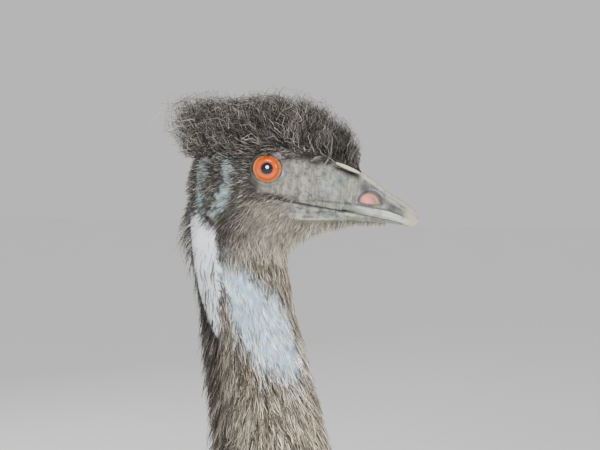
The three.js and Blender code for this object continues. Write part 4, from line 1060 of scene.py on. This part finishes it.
def plate(middle, along, across, up, half_long, half_wide, rise):
    """A domed plate that laps the next: higher at its lower end."""
    u, v = np.meshgrid(np.linspace(-1, 1, 6), np.linspace(-1, 1, 9), indexing="ij")
    dome = rise * (0.35 + 0.65 * (u + 1) / 2) * (1 - np.abs(v) ** 4) * (1 - np.abs(u) ** 8)
    bend = -0.32 * half_wide * v**2
    top = (middle + (u * half_long)[..., None] * along + (v * half_wide)[..., None] * across
           + (dome + bend)[..., None] * up)
    under = top - (dome + 1.6)[..., None] * up
    points = np.concatenate([top.reshape(-1, 3), under.reshape(-1, 3)])
    n, m = u.shape
    i, j = np.meshgrid(np.arange(n - 1), np.arange(m - 1), indexing="ij")
    a = (i * m + j).ravel()
    quads = np.stack([a, a + 1, a + m + 1, a + m], -1)
    faces = [quads[:, [0, 1, 2]], quads[:, [0, 2, 3]]]
    below = [f[:, ::-1] + n * m for f in faces]
    rim = np.concatenate([np.arange(m), np.arange(1, n) * m + m - 1, (n - 1) * m + np.arange(m - 2, -1, -1),
                          np.arange(n - 2, 0, -1) * m])
    nxt = np.roll(rim, -1)
    wall = [np.stack([rim, rim + n * m, nxt], -1), np.stack([nxt, rim + n * m, nxt + n * m], -1)]
    return points, facing_out(points, np.concatenate([*faces, *below, *wall]))


def make_scutes():
    shapes = []
    rng = np.random.default_rng(SEED)
    for hand in HANDS.values():
        top, low, foot = (leg_point(x, z, hand) for x, z in ((HOCK_X, HOCK_Z), (ANKLE_X, ANKLE_Z), (ANKLE_X, 0)))
        down = unit(low - top)
        ahead = np.cross(down, [0.0, 1.0, 0.0])
        pitch = (1.0 - SCUTES_START) / SCUTES
        for i in range(SCUTES):
            at = mix(top, low, SCUTES_START + (i + 0.5) * pitch)
            _, deep, wide = (float(v) for v in leg_at(at[2]))
            long = np.linalg.norm(low - top) * pitch * (0.53 + rng.uniform(-0.02, 0.03))
            middle = at + ahead * (deep - 0.2)
            shapes.append(plate(middle, down, np.array([0.0, 1.0, 0.0]), ahead, long, wide * 0.86, 1.5))
        for name, length, turn, radius in TOES:
            way, across = toe_way(turn, hand)
            count = TOE_SCUTES[name]
            long = length * 0.36 / count * 1.08
            for i in range(count):
                t = 0.22 + 0.72 * (i + 0.5) / count
                size = toe_thickness(radius, t)
                middle = foot + way * length * t + UP * (size * 1.9 - 0.3)
                shapes.append(plate(middle, way, across, UP, long, size * 0.8, 1.1))
    points, faces = joined(shapes)
    colour = paint((0.10, 0.085, 0.068), [(smooth(ripple(points, 14, 53), -0.3, 1) * 0.5, (0.17, 0.145, 0.115))])
    return mesh_piece("scutes", points, faces, colour)


# Coat.
def sample(points, quads, weight, count, rng):
    """Random places on a mesh of quads, denser where the weight is higher, with each place's face."""
    a, b, c, d = (points[quads[:, n]] for n in range(4))
    area = 0.5 * np.linalg.norm(np.cross(c - a, d - b), axis=-1)
    share = area * weight
    pick = rng.choice(len(quads), count, p=share / share.sum())
    u, v = rng.random((2, count, 1))
    place = mix(mix(a[pick], b[pick], u), mix(d[pick], c[pick], u), v)
    normal = unit(np.cross(c[pick] - a[pick], d[pick] - b[pick]))
    return place, normal


UV_PATCH = np.array([0.0012, 0.0015])


def strands_mesh(path, across, width, thick, profile, uv):
    """Tapered three-sided strands: points, triangles, how far along each point is, and its UV place."""
    n, stations, _ = path.shape
    along = unit(np.gradient(path, axis=1))
    side = unit(across[:, None] - along * (across[:, None] * along).sum(-1, keepdims=True))
    up = np.cross(side, along)
    half = 0.5 * width[:, None] * profile[None, :-1]
    deep = 0.5 * thick[:, None] * profile[None, :-1]
    body, reach, rise = path[:, :-1], side[:, :-1] * half[..., None], up[:, :-1] * deep[..., None]
    rings = np.stack([body + reach - 0.5 * rise, body + rise, body - reach - 0.5 * rise], 2)
    points = np.concatenate([rings.reshape(n, -1, 3), path[:, -1:]], 1)
    per = 3 * (stations - 1) + 1
    one = [[0, 1, 2]]
    for r in range(stations - 2):
        for k in range(3):
            a, b, c, d = 3 * r + k, 3 * r + (k + 1) % 3, 3 * r + 3 + k, 3 * r + 3 + (k + 1) % 3
            one += [[a, c, b], [b, c, d]]
    last = 3 * (stations - 2)
    one += [[last + k, per - 1, last + (k + 1) % 3] for k in range(3)]
    one = np.array(one)
    faces = (one[None] + (np.arange(n) * per)[:, None, None]).reshape(-1, 3)
    t = np.repeat(np.arange(stations - 1) / (stations - 1), 3)
    t = np.concatenate([t, [1.0]])
    sideways = np.concatenate([np.tile([-1.0, 0.0, 1.0], stations - 1), [0.0]])
    uvs = uv[:, None] + UV_PATCH * np.stack([sideways, 2 * t - 1], -1)
    return points.reshape(-1, 3), faces, np.tile(t, n), uvs.reshape(-1, 2), per


def unwrap(root):
    """A place on the skin as how far along the bird and how far round it, each from 0 to 1."""
    x, y, z = root.T
    on_neck = smooth(z, 950, 1080)
    round_body = np.arctan2(y, z - BODY_Z) / (2 * math.pi) + 0.5
    round_neck = np.arctan2(y, -(x - neck_station(x, z)[1])) / (2 * math.pi) + 0.5
    along = mix((x + 480) / 1600, 0.55 + (z - 950) / 1400, on_neck)
    return np.stack([along, mix(round_body, round_neck, on_neck)], -1)


def fitted_uv(uv):
    low, high = uv.min(0), uv.max(0)
    return 0.01 + 0.98 * (uv - low) / np.maximum(high - low, 1e-6)


def grow(form, root, normal, lie, length, lift, stand, stations, sink=1.0):
    """The middle lines of strands. Those that lie follow the form; those that stand leave it."""
    n = len(root)
    path = np.empty((n, stations, 3))
    p = root - normal * sink
    stand = np.broadcast_to(stand, n).astype(float)
    steps = stations - 1
    for i in range(steps):
        path[:, i] = p
        _, out = outward(form, p)
        way = lie(p, out, i / steps)
        inward = np.minimum((way * out).sum(-1), 0)
        way = unit(way - out * inward[:, None])
        rise = stand * (1 - i / steps) ** 1.3
        way = unit(way * (1 - 0.9 * rise)[:, None] + out * rise[:, None])
        p = p + way * (length / steps)[:, None]
        height, out = outward(form, p)
        target = lift * ((i + 1) / steps) ** 0.7
        lies = (inward < 0) & (stand < 0.3)
        pull = np.where(lies, target - height, np.maximum(target * 0.6 - height, 0))
        p = p + out * np.clip(pull, -length / 3, length)[:, None]
    path[:, steps] = p
    return path


def clump(path, root, leaders, pull, rng, chunk=4000):
    """Draws strands together towards their tips, each to the nearest of a few leaders."""
    chosen = rng.choice(len(root), min(leaders, len(root)), replace=False)
    nearest = np.empty(len(root), int)
    for start in range(0, len(root), chunk):
        part = slice(start, start + chunk)
        gap = ((root[part, None] - root[chosen][None]) ** 2).sum(-1)
        nearest[part] = chosen[gap.argmin(1)]
    t = np.linspace(0, 1, path.shape[1])[None, :, None]
    own = pull * rng.uniform(0.5, 1.0, (len(root), 1, 1))
    return path + (path[nearest] - path) * own * t**1.6


def frizz(path, amount, turns, rng):
    """Waves along the strands, growing to their tips."""
    n, stations, _ = path.shape
    along = unit(path[:, -1] - path[:, 0])
    a = unit(np.cross(along, rng.normal(size=(n, 3))))
    b = np.cross(along, a)
    t = np.linspace(0, 1, stations)[None, :]
    phase = rng.uniform(0, 2 * math.pi, (n, 1))
    turn = 2 * math.pi * turns * rng.uniform(0.6, 1.4, (n, 1)) * t + phase
    size = (amount * rng.uniform(0.4, 1.3, n))[:, None] * t
    return path + size[..., None] * (np.cos(turn)[..., None] * a[:, None] + np.sin(turn)[..., None] * b[:, None])


# A strand's width at its stations, as shares of its widest.
HAIR_PROFILE = {4: [0.8, 1.0, 0.7, 0], 5: [0.8, 1.0, 0.9, 0.6, 0], 6: [0.7, 1.0, 1.0, 0.85, 0.55, 0]}


def held(path):
    """Strands kept within the coat's width."""
    return np.stack([path[..., 0], np.clip(path[..., 1], -COAT_HALF, COAT_HALF), path[..., 2]], -1)


def rotated(v, axis, angle):
    """Vectors turned about unit axes."""
    c, s = np.cos(angle)[:, None], np.sin(angle)[:, None]
    return v * c + np.cross(axis, v) * s + axis * (axis * v).sum(-1, keepdims=True) * (1 - c)


def combed(form, lie_of, root, normal, rng, *, length, lift, stand, sway, leaders, pull, wave, turns,
           stations=5, sink=1.0):
    """Middle lines of strands, grown from their roots, drawn together in locks and waved."""
    turned = rng.normal(0, sway, len(root))
    lie = lambda p, out, t: rotated(lie_of(p, out, t), out, turned)
    path = grow(form, root, normal, lie, length, lift, stand, stations, sink)
    path = clump(path, root, leaders, pull, rng)
    return held(frizz(path, length * wave, turns, rng))


def coat_piece(name, path, root, out, scatter, width, flat, colour_of, rng):
    """A piece of the coat: strands along their middle lines, their flat side more or less outwards."""
    across = unit(np.cross(path[:, -1] - path[:, 0], out + scatter * rng.normal(size=(len(root), 3))))
    colour = colour_of(root, rng)
    uv = fitted_uv(unwrap(root))
    profile = np.array(HAIR_PROFILE[path.shape[1]], float)
    points, faces, along, uvs, per = strands_mesh(path, across, width, width * flat, profile, uv)
    return mesh_piece(name, points, faces, np.repeat(colour, per, 0), {"along": along}, uvs, soft=False)


# The lie of the coat.
def neck_lie(p):
    """Down the neck, fanning out from the bare patch to the front and the back."""
    middle, slope = neck_station(p[:, 0], p[:, 2])[1:3]
    share = np.clip((p[:, 0] - middle) / 40 - 0.1, -1, 1)
    fan = 0.42 * share * smooth(p[:, 2], 1400, 1350) * smooth(p[:, 2], 1150, 1230)
    return unit(stacked(-slope + fan, 0.0, -1.0))


def head_lie(p, t):
    """Up on the forehead, up and back over the crown, back over the brow, down behind the cheek."""
    x, z, _ = from_eye(p)
    hand = np.sign(p[:, 1])
    near_eye = smooth(np.abs(x), 34, 20)
    crown = smooth(z, mix(8.0, 19.0, near_eye), mix(24.0, 34.0, near_eye))
    crown = np.maximum(crown, smooth(x, 46, 56) * smooth(z - lip_height(x), -1, 3))
    back = mix(-0.8, 0.12, smooth(x, -55, 66)) - 0.4 * t * smooth(x, 40, -20)
    up = stacked(back, hand * 0.25, mix(0.62, 1.0, smooth(x, -60, 20)) - 0.35 * t)
    cheek = stacked(-1.0, 0.05 * hand, mix(-1.3, 0.05, smooth(z, -60, 12)))
    under = smooth(x, 30, 56) * smooth(z, -34, -40)
    cheek = cheek + under[:, None] * np.array([0.6, 0, -1.6])
    return unit(mix(unit(cheek), unit(up), crown[:, None]))


def upper_lie(p, out, t):
    on_neck = smooth(p[:, 2], 1470, 1425)[:, None]
    return unit(mix(head_lie(p, t), neck_lie(p), on_neck))


def over_breast(p):
    """Height over a line that rises ahead, where the neck begins at about 900."""
    return p[:, 2] - 0.55 * (p[:, 0] - 190)


def trunk_lie(p, out, t):
    hand = np.sign(p[:, 1]) * smooth(np.abs(p[:, 1]), 0, 12)
    back = stacked(-0.5, hand * (0.6 * np.maximum(out[:, 2], 0) + 0.06), -1.0)
    breast = stacked(-0.12, 0.1 * hand, -1.0)
    front = smooth(p[:, 0], 200, 290)[:, None]
    on_neck = smooth(over_breast(p), 900, 960) * smooth(p[:, 0], 60, 160)
    return unit(mix(unit(mix(back, breast, front)), neck_lie(p), on_neck[:, None]))


def leg_lie(p, out, t):
    return unit(np.array([-0.3, 0, -1.0]))


# Coat colours: for each stretch, rows of a share of its strands and their colour.
CROWN_SHADES = [(0.38, (0.023, 0.021, 0.020)), (0.34, (0.070, 0.064, 0.055)), (0.20, (0.18, 0.165, 0.138)),
                (0.08, (0.34, 0.31, 0.26))]
CHIN_SHADES = [(0.18, (0.13, 0.115, 0.09)), (0.42, (0.28, 0.255, 0.20)), (0.40, (0.46, 0.42, 0.34))]
NECK_SHADES = [(0.30, (0.055, 0.045, 0.034)), (0.38, (0.155, 0.125, 0.092)), (0.32, (0.42, 0.365, 0.285))]
# The nape's rows give its own dark feathers, made darker still as painted shade on the neck's back.
NAPE_SHADES = [(0.6, (0.022, 0.020, 0.019)), (0.3, (0.075, 0.063, 0.052)), (0.1, (0.25, 0.215, 0.175))]
LOW_NECK_SHADES = [(0.45, (0.035, 0.027, 0.021)), (0.38, (0.085, 0.064, 0.047)), (0.17, (0.20, 0.158, 0.115))]
TRUNK_SHADES = [(0.32, (0.036, 0.027, 0.021)), (0.43, (0.092, 0.068, 0.049)), (0.25, (0.19, 0.148, 0.104))]
PALE_HAIR = np.array([0.74, 0.78, 0.80])


def toned(base, root, rng, spread=0.3):
    """Each strand's own shade of its place's colour."""
    own = np.exp(rng.normal(0, spread, len(root))) * (1 + 0.25 * ripple(root, 26, 61))
    return base * own[:, None]


def shades(root, rng, rows):
    """A colour for each strand, drawn from rows of (share, colour)."""
    shares = np.array([row[0] for row in rows], float)
    pick = rng.choice(len(rows), len(root), p=shares / shares.sum())
    return np.array([row[1] for row in rows])[pick]


def head_coat_colour(root, rng):
    x, z, _ = from_eye(root)
    crown, chin = (shades(root, rng, rows) for rows in (CROWN_SHADES, CHIN_SHADES))
    low = smooth(z, -14, -32) * smooth(x, -42, mix(24.0, -12.0, smooth(z, -44, -66)))
    return toned(mix(crown, chin, low[:, None]), root, rng)


def neck_coat_colour(root, rng):
    _, z, _ = from_eye(root)
    behind = smooth(neck_station(root[:, 0], root[:, 2])[1] - root[:, 0], 4, 32)
    neck, nape, low = (shades(root, rng, rows) for rows in (NECK_SHADES, NAPE_SHADES, LOW_NECK_SHADES))
    # Strands behind the neck's middle take the nape's tones: dark feathers, deepened as painted shade on the neck's
    # back.
    base = mix(neck, nape, (behind * 0.9)[:, None])
    base = mix(base, low, smooth(z, -250, -430)[:, None])
    _, blue, _, _ = bare_patches(root)
    pale = smooth(blue, 0.15, 0.6) * smooth(rng.random(len(root)), 0.85, 0.6)
    return toned(mix(base, PALE_HAIR, (0.8 * pale)[:, None]), root, rng)


def trunk_coat_colour(root, rng):
    base = shades(root, rng, TRUNK_SHADES)
    high = smooth(root[:, 2], 1000, 1120)[:, None]
    return toned(mix(base, base * 0.7, high), root, rng, 0.28)


CREST_STRANDS, RIGHT_FACE_STRANDS, LEFT_FACE_STRANDS = 4600, 7200, 5600


def make_head_hair(points, quads, rng):
    """Crown, brow, cheeks, chin and throat, down to the top of the neck."""
    pieces = []
    centre = points[quads].mean(1)
    right, left = centre[:, 1] < 0, centre[:, 1] > 0
    x, z, _ = from_eye(centre)
    white, _, ear, face = bare_patches(centre)
    away, along, _ = eye_offset(*centre.T)
    brow = smooth(z - 0.9 * x, -1, 8)
    clear_eye = np.clip(smooth(away, mix(17.5, 12.9, brow), mix(20.5, 13.9, brow)) + (along < 0), 0, 1)
    _, mouth, low = mouth_at(x)
    lips = smooth(x, GAPE_X + 4, GAPE_X + 26) * smooth(z, low - 2.6, low - 1.0) * smooth(z, mouth + 6, mouth + 3)
    forehead = smooth(z - lip_height(x), 0.6, 2.0)
    pad = smooth(z, -43.5, -45.0)
    bill = np.maximum.reduce([smooth(x, 66, 60) * smooth(z - low, 0, -2), smooth(x, 58, 52),
                              forehead * smooth(x, 80, 77), pad * smooth(x, 102, 99)])
    open_skin = np.clip(1 - np.maximum.reduce([0.9 * face, 0.97 * white, 0.6 * ear, lips]), 0.0, 1)
    crown = smooth(z, 6, 16)
    crest = np.maximum(crown * smooth(x, 60, 54), forehead * smooth(x, 80, 77) * smooth(x, 46, 56))
    crest = crest * clear_eye * (centre[:, 2] > 1440)
    crest = crest * mix(1.0, 0.75, smooth(x, 44, 60)) * mix(1.0, 0.55, smooth(x, 66, 76))
    other = (1 - crown) * open_skin * clear_eye * bill * (z > -78)
    for name, weight, count in (
            ("crest_right", crest * right, CREST_STRANDS), ("crest_left", crest * left, CREST_STRANDS),
            ("face_feathers_right", other * right, RIGHT_FACE_STRANDS),
            ("face_feathers_left", other * left, LEFT_FACE_STRANDS)):
        root, normal = sample(points, quads, weight + 1e-9, count, rng)
        x, z, _ = from_eye(root)
        if name.startswith("crest"):
            front = smooth(x, 44, 60)
            stray = (rng.random(count) < 0.1) * smooth(z, 14, 30)
            length = mix(32, 34, front) + 24 * smooth(x, -16, -56)
            length = length * mix(0.42, 1.0, np.maximum(smooth(z, 8, 28), front)) * rng.uniform(0.42, 1.06, count)
            length = length * (1 + 0.27 * stray) * mix(1.0, 0.5, smooth(x, 68, 79))
            stand = mix(0.45, 0.95, smooth(z, 10, 30)) * (1 - 0.75 * front) * rng.uniform(0.8, 1.1, count)
            lift, width = length * 0.2, rng.uniform(0.35, 0.75, count)
            wave = (0.13 + 0.07 * smooth(x, -20, -50)) * rng.uniform(0.6, 1.7, count) * (1 + 0.5 * stray)
            comb = {"stations": 6, "leaders": 380, "pull": 0.55, "wave": wave, "turns": 1.7}
        else:
            low_face = smooth(z, -20, -34)
            nape = smooth(x, -50, -68) * smooth(z, -34, -56)
            throat = smooth(z, -50, -70) * smooth(x, -20, 10)
            edge = bare_patches(root)[3]
            length = (7.0 + 2.5 * low_face + 15 * nape + 4 * throat) * rng.uniform(0.6, 1.25, count)
            length = length * mix(1, 0.6, smooth(edge, 0.3, 0.8)) * mix(1, 0.55, smooth(x, 48, 78))
            stand = 0.2 + 0.2 * low_face * smooth(x, -10, 30) + 0.3 * nape - 0.15 * edge
            lift, width = length * mix(0.3, 0.1, edge), rng.uniform(0.28, 0.52, count) * mix(1, 0.75, edge)
            comb = {"stations": 4, "leaders": 800, "pull": 0.4, "wave": 0.08, "turns": 1.0}
        path = combed(upper_form, upper_lie, root, normal, rng, length=length, lift=lift,
                      stand=np.clip(stand, 0, 1), sway=0.3, **comb)
        pieces.append(coat_piece(name, path, root, 0, 1, width, 0.8, head_coat_colour, rng))
    return pieces


def make_neck_coat(fine, trunk, rng):
    """The neck's hair-like feathers, sparse over the pale patches, longer lower down."""
    pieces = []
    # Name, lowest and highest roots, strands, the skin they stand on with its form, and their lie.
    for name, low, high, count, (points, quads), form, lie_of in (
            ("neck_feathers_upper", 1300, 1436, 8100, fine, upper_form, upper_lie),
            ("neck_feathers_middle", 1196, 1306, 6900, fine, upper_form, upper_lie),
            ("neck_feathers_lower", 950, 1200, 6200, trunk, trunk_form, trunk_lie)):
        centre = points[quads].mean(1)
        white, blue, _, _ = bare_patches(centre)
        z = centre[:, 2]
        weight = smooth(z, low - 6, low) * smooth(z, high + 6, high) * (1 - 0.95 * white) * (1 - 0.58 * blue)
        if form is trunk_form:
            weight = weight * smooth(over_breast(centre), 880, 920) * (centre[:, 0] > 90)
        root, normal = sample(points, quads, weight + 1e-9, count, rng)
        z = root[:, 2]
        nape = smooth(neck_station(root[:, 0], z)[1] - root[:, 0], 24, 42)
        wisp = nape * (rng.random(count) < 0.10)
        length = np.interp(z, [980, 1100, 1200, 1310, 1400, 1440], [120, 90, 52, 31, 22, 18])
        length = length * rng.uniform(0.6, 1.15, count) * (1 + 0.35 * nape)
        lift = np.interp(z, [980, 1130, 1250, 1340, 1440], [34, 26, 9, 5.5, 4.5]) * rng.uniform(0.4, 1.2, count)
        lift = lift * (1 + 0.3 * nape + 1.9 * wisp * smooth(from_eye(root)[1], -300, -160))
        _, blue, _, _ = bare_patches(root)
        lift, length = lift * (1 - 0.5 * blue), length * (1 - 0.35 * blue)
        width = np.interp(z, [980, 1200, 1320, 1440], [4.0, 1.8, 0.8, 0.5]) * rng.uniform(0.7, 1.3, count)
        width = width * (1 - 0.35 * blue)
        path = combed(form, lie_of, root, normal, rng, length=length, lift=lift,
                      stand=0.07 + 0.08 * nape + 0.3 * wisp, sway=0.22, leaders=620, pull=0.6, wave=0.045, turns=0.9)
        out = outward(form, root)[1]
        pieces.append(coat_piece(name, path, root, out, 0.5, width, 0.5, neck_coat_colour, rng))
    return pieces


def make_trunk_coat(trunk, rng):
    """Back, flanks, breast, rump, wings and thighs."""
    points, quads = trunk
    centre = points[quads].mean(1)
    x, y, z = centre.T
    out = outward(trunk_form, centre)[1]
    on_neck = smooth(over_breast(centre), 900, 960) * smooth(x, 60, 120)
    belly = smooth(-out[:, 2], 0.25, 0.6)
    leg = smooth(z, 645, 628)
    tail, breast = smooth(x, -290, -330), smooth(x, 205, 235)
    above = (1 - on_neck) * (1 - belly) * (1 - leg)
    upper = above * (1 - tail) * (1 - breast)
    flank = upper * smooth(out[:, 2], 0.5, 0.35)
    # Where they stand, strands, length and lift.
    regions = {
        "back_feathers": (upper * smooth(out[:, 2], 0.35, 0.5), 5500, 200, 26),
        "flank_feathers_right": (flank * (y < 0), 4900, 212, 18),
        "flank_feathers_left": (flank * (y > 0), 4900, 212, 18),
        "breast_feathers": (above * breast, 3100, 150, 24),
        "tail_feathers": (above * tail, 4500, 232, 28),
        "thigh_feathers": (leg * smooth(z, 455, 470), 3200, 88, 15),
    }
    pieces = []
    for name, (weight, count, long, lift) in regions.items():
        root, normal = sample(points, quads, weight + 1e-9, count, rng)
        length = long * rng.uniform(0.72, 1.12, count)
        lift = lift * rng.uniform(0.35, 1.25, count)
        if name == "thigh_feathers":
            length = length * mix(0.5, 1.0, smooth(root[:, 2], 470, 560))
            lie_of, leaders, wide = leg_lie, 120, 3.0
        else:
            room = np.maximum(root[:, 2] - 592, 30) * 1.5
            length = np.minimum(length, np.maximum(room, 60))
            lie_of, leaders, wide = trunk_lie, 90, 5.2
        path = combed(trunk_form, lie_of, root, normal, rng, length=length, lift=lift, stand=0.05, sway=0.14,
                      leaders=leaders, pull=0.55, wave=0.03, turns=0.8, sink=2.0)
        width = wide * rng.uniform(0.6, 1.3, count)
        out = outward(trunk_form, root)[1]
        pieces.append(coat_piece(name, path, root, out, 0.35, width, 0.35, trunk_coat_colour, rng))
    return pieces


# Camera, light and floor.
FOCAL_PX, FRAME_WIDE, FRAME_HIGH, SENSOR = 730.0, 600, 450, 36.0
CAMERA_AWAY = 0.62
CAMERA_TURN, CAMERA_RISE = math.radians(12), math.radians(6)
EYE_PX = (266.5, 168.5)
FLOOR_HALF, FLOOR_TONE, WORLD_TONE, BACKDROP_TONE = 14.0, 0.8, 0.34, 0.66
# Lamps: name, place, what it is aimed at, width or spread, power, kind.
LAMPS = [
    ("key", (0.87, -2.44, 1.80), (0.35, 0, 1.35), 0.85, 64, "AREA"),
    ("top", (0.5, -1.0, 2.2), (0, 0, 0), 0.7, 1.7, "SUN"),
    ("fill", (3.0, 0.2, 2.1), (0.2, 0, 1.1), 1.4, 26, "AREA"),
    ("rim", (-1.8, 2.4, 2.6), (0, 0, 1.1), 1.5, 60, "AREA"),
]


def make_camera():
    """The photograph's close view: the eye stands where it stands there."""
    back = Vector((math.sin(CAMERA_TURN) * math.cos(CAMERA_RISE), -math.cos(CAMERA_TURN) * math.cos(CAMERA_RISE),
                   math.sin(CAMERA_RISE)))
    right = Vector((math.cos(CAMERA_TURN), math.sin(CAMERA_TURN), 0))
    up = back.cross(right)
    eye = Vector(to_scene(EYE_AT * MIRROR + np.array([3.0, -EYE_BALL, 0])))
    metres_px = CAMERA_AWAY / FOCAL_PX
    target = eye + right * (FRAME_WIDE / 2 - EYE_PX[0]) * metres_px + up * (EYE_PX[1] - FRAME_HIGH / 2) * metres_px
    data = bpy.data.cameras.new("camera")
    data.sensor_width = SENSOR
    data.lens = FOCAL_PX * SENSOR / FRAME_WIDE
    data.clip_start = 0.02
    camera = bpy.data.objects.new("camera", data)
    turn = Matrix((right, up, back)).transposed().to_4x4()
    camera.matrix_world = Matrix.Translation(target + back * CAMERA_AWAY) @ turn
    bpy.context.scene.collection.objects.link(camera)
    bpy.context.scene.camera = camera


def make_light(name, at, toward, size, power, kind):
    """A soft disc of light with its width in metres, or a far light with its spread in radians."""
    data = bpy.data.lights.new(name, kind)
    data.energy = power
    if kind == "AREA":
        data.shape, data.size = "DISK", size
    else:
        data.angle = size
    light = bpy.data.objects.new(name, data)
    light.visible_camera = False
    at, toward = Vector(at), Vector(toward)
    light.matrix_world = Matrix.Translation(at) @ (at - toward).to_track_quat("Z", "Y").to_matrix().to_4x4()
    bpy.context.scene.collection.objects.link(light)


def make_studio():
    mesh = bpy.data.meshes.new("floor")
    corners = [(x * FLOOR_HALF, y * FLOOR_HALF, 0) for x, y in ((-1, -1), (1, -1), (1, 1), (-1, 1))]
    mesh.from_pydata(corners, [], [(0, 1, 2, 3)])
    floor = bpy.data.objects.new("floor", mesh)
    bpy.context.scene.collection.objects.link(floor)
    finish = Finish("floor_paint", 0.75)
    mottle = finish.use(MOTTLE, Blotch_Scale=1.5, Grain_Scale=40, Amount=0.05)
    base = finish.node("ShaderNodeRGB")
    base.outputs[0].default_value = (*[FLOOR_TONE] * 3, 1)
    finish.put("Base Color", finish.shaded(base.outputs[0], mottle.outputs["Shade"]))
    mesh.materials.append(finish.material)
    for lamp in LAMPS:
        make_light(*lamp)
    world = bpy.data.worlds.new("studio")
    world.use_nodes = True
    tree = world.node_tree
    seen, light = tree.nodes.new("ShaderNodeBackground"), tree.nodes["Background"]
    for background, tone in ((seen, BACKDROP_TONE), (light, WORLD_TONE)):
        background.inputs["Color"].default_value = (tone, tone, tone, 1)
        background.inputs["Strength"].default_value = 1
    mixed, ray = tree.nodes.new("ShaderNodeMixShader"), tree.nodes.new("ShaderNodeLightPath")
    tree.links.new(ray.outputs["Is Camera Ray"], mixed.inputs[0])
    tree.links.new(light.outputs[0], mixed.inputs[1])
    tree.links.new(seen.outputs[0], mixed.inputs[2])
    tree.links.new(mixed.outputs[0], tree.nodes["World Output"].inputs["Surface"])
    bpy.context.scene.world = world


# Grid lines of the skin: fine from the head to the upper neck, coarser on the trunk and legs.
FINE_GRID = (spaced((238, 318, 2.1), (318, 412, 1.1), (412, 440, 2.1)), spaced((-48, 48, 1.5)),
             spaced((1186, 1398, 4.0), (1398, 1452, 2.2), (1452, 1532, 1.1), (1532, 1560, 2.1)))
TRUNK_GRID = spaced((-460, 450, 9)), spaced((-232, 232, 9)), spaced((444, 1214, 9))
LEG_GRIDS = [(spaced((-152, 118, 3)), spaced((low, low + 130, 3)), spaced((-4, 476, 3))) for low in (-160, 30)]

# The part's soft nodes, which the skin stands for.
FLESH = ["head", "neck_upper", "neck_middle", "neck_lower", "torso", "tail"] + [
    f"{part}_{side}" for part in ("ear", "wing", "thigh", "shank", "foot") for side in HANDS]


def ready(piece, material, slot, *nodes):
    piece.data.materials.append(material)
    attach(piece, "root")
    if nodes:
        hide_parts(*nodes)


def main():
    rng = np.random.default_rng(SEED)
    make_camera()
    make_studio()
    skin_paint, iris = skin_finish(), eye_finish()
    horn = horn_finish("bill_horn", 0.38, (90, 1700, 0.45), 0.00025, Coat_Weight=0.15, Coat_Roughness=0.25)
    claw = horn_finish("claw_horn", 0.42, (120, 1500, 0.6), 0.0003)
    hair = coat_finish("crest_feather", 0.48, 0.7, 1.5)
    neck_hair = coat_finish("neck_feather", 0.5, 0.5, 1.75)
    trunk_hair = coat_finish("coat_feather", 0.6, 1.15, 0.6)

    fine, trunk = shell(upper_form, *FINE_GRID), shell(trunk_form, *TRUNK_GRID)
    points, quads = joined([fine, trunk, *(shell(lower_form, *grid) for grid in LEG_GRIDS)])
    skin = mesh_piece("skin", points, quads, skin_colour(points), {"scaly": smooth(points[:, 2], 520, 450)})
    ready(skin, skin_paint, "face_skin", *FLESH)

    for side, hand in HANDS.items():
        ready(make_eye(side, hand), iris, "iris", "eye_" + side)
        ready(make_lids(side, hand), skin_paint, "face_skin")
        ready(make_lips(side, hand), skin_paint, "face_skin")
    ready(make_upper_bill(), horn, "bill_horn", "bill_upper")
    ready(make_lower_bill(), horn, "bill_horn", "bill_lower")
    ready(make_claws(), claw, "claw_horn", *[f"claw_{side}_{toe[0]}" for side in HANDS for toe in TOES])
    ready(make_scutes(), claw, "scaled_skin")

    for piece in make_head_hair(*fine, rng):
        ready(piece, hair, "neck_feather")
    for piece in make_neck_coat(fine, trunk, rng):
        ready(piece, neck_hair, "neck_feather")
    for piece in make_trunk_coat(trunk, rng):
        ready(piece, trunk_hair, "leg_feather" if piece.name.startswith("thigh") else "coat")


main()
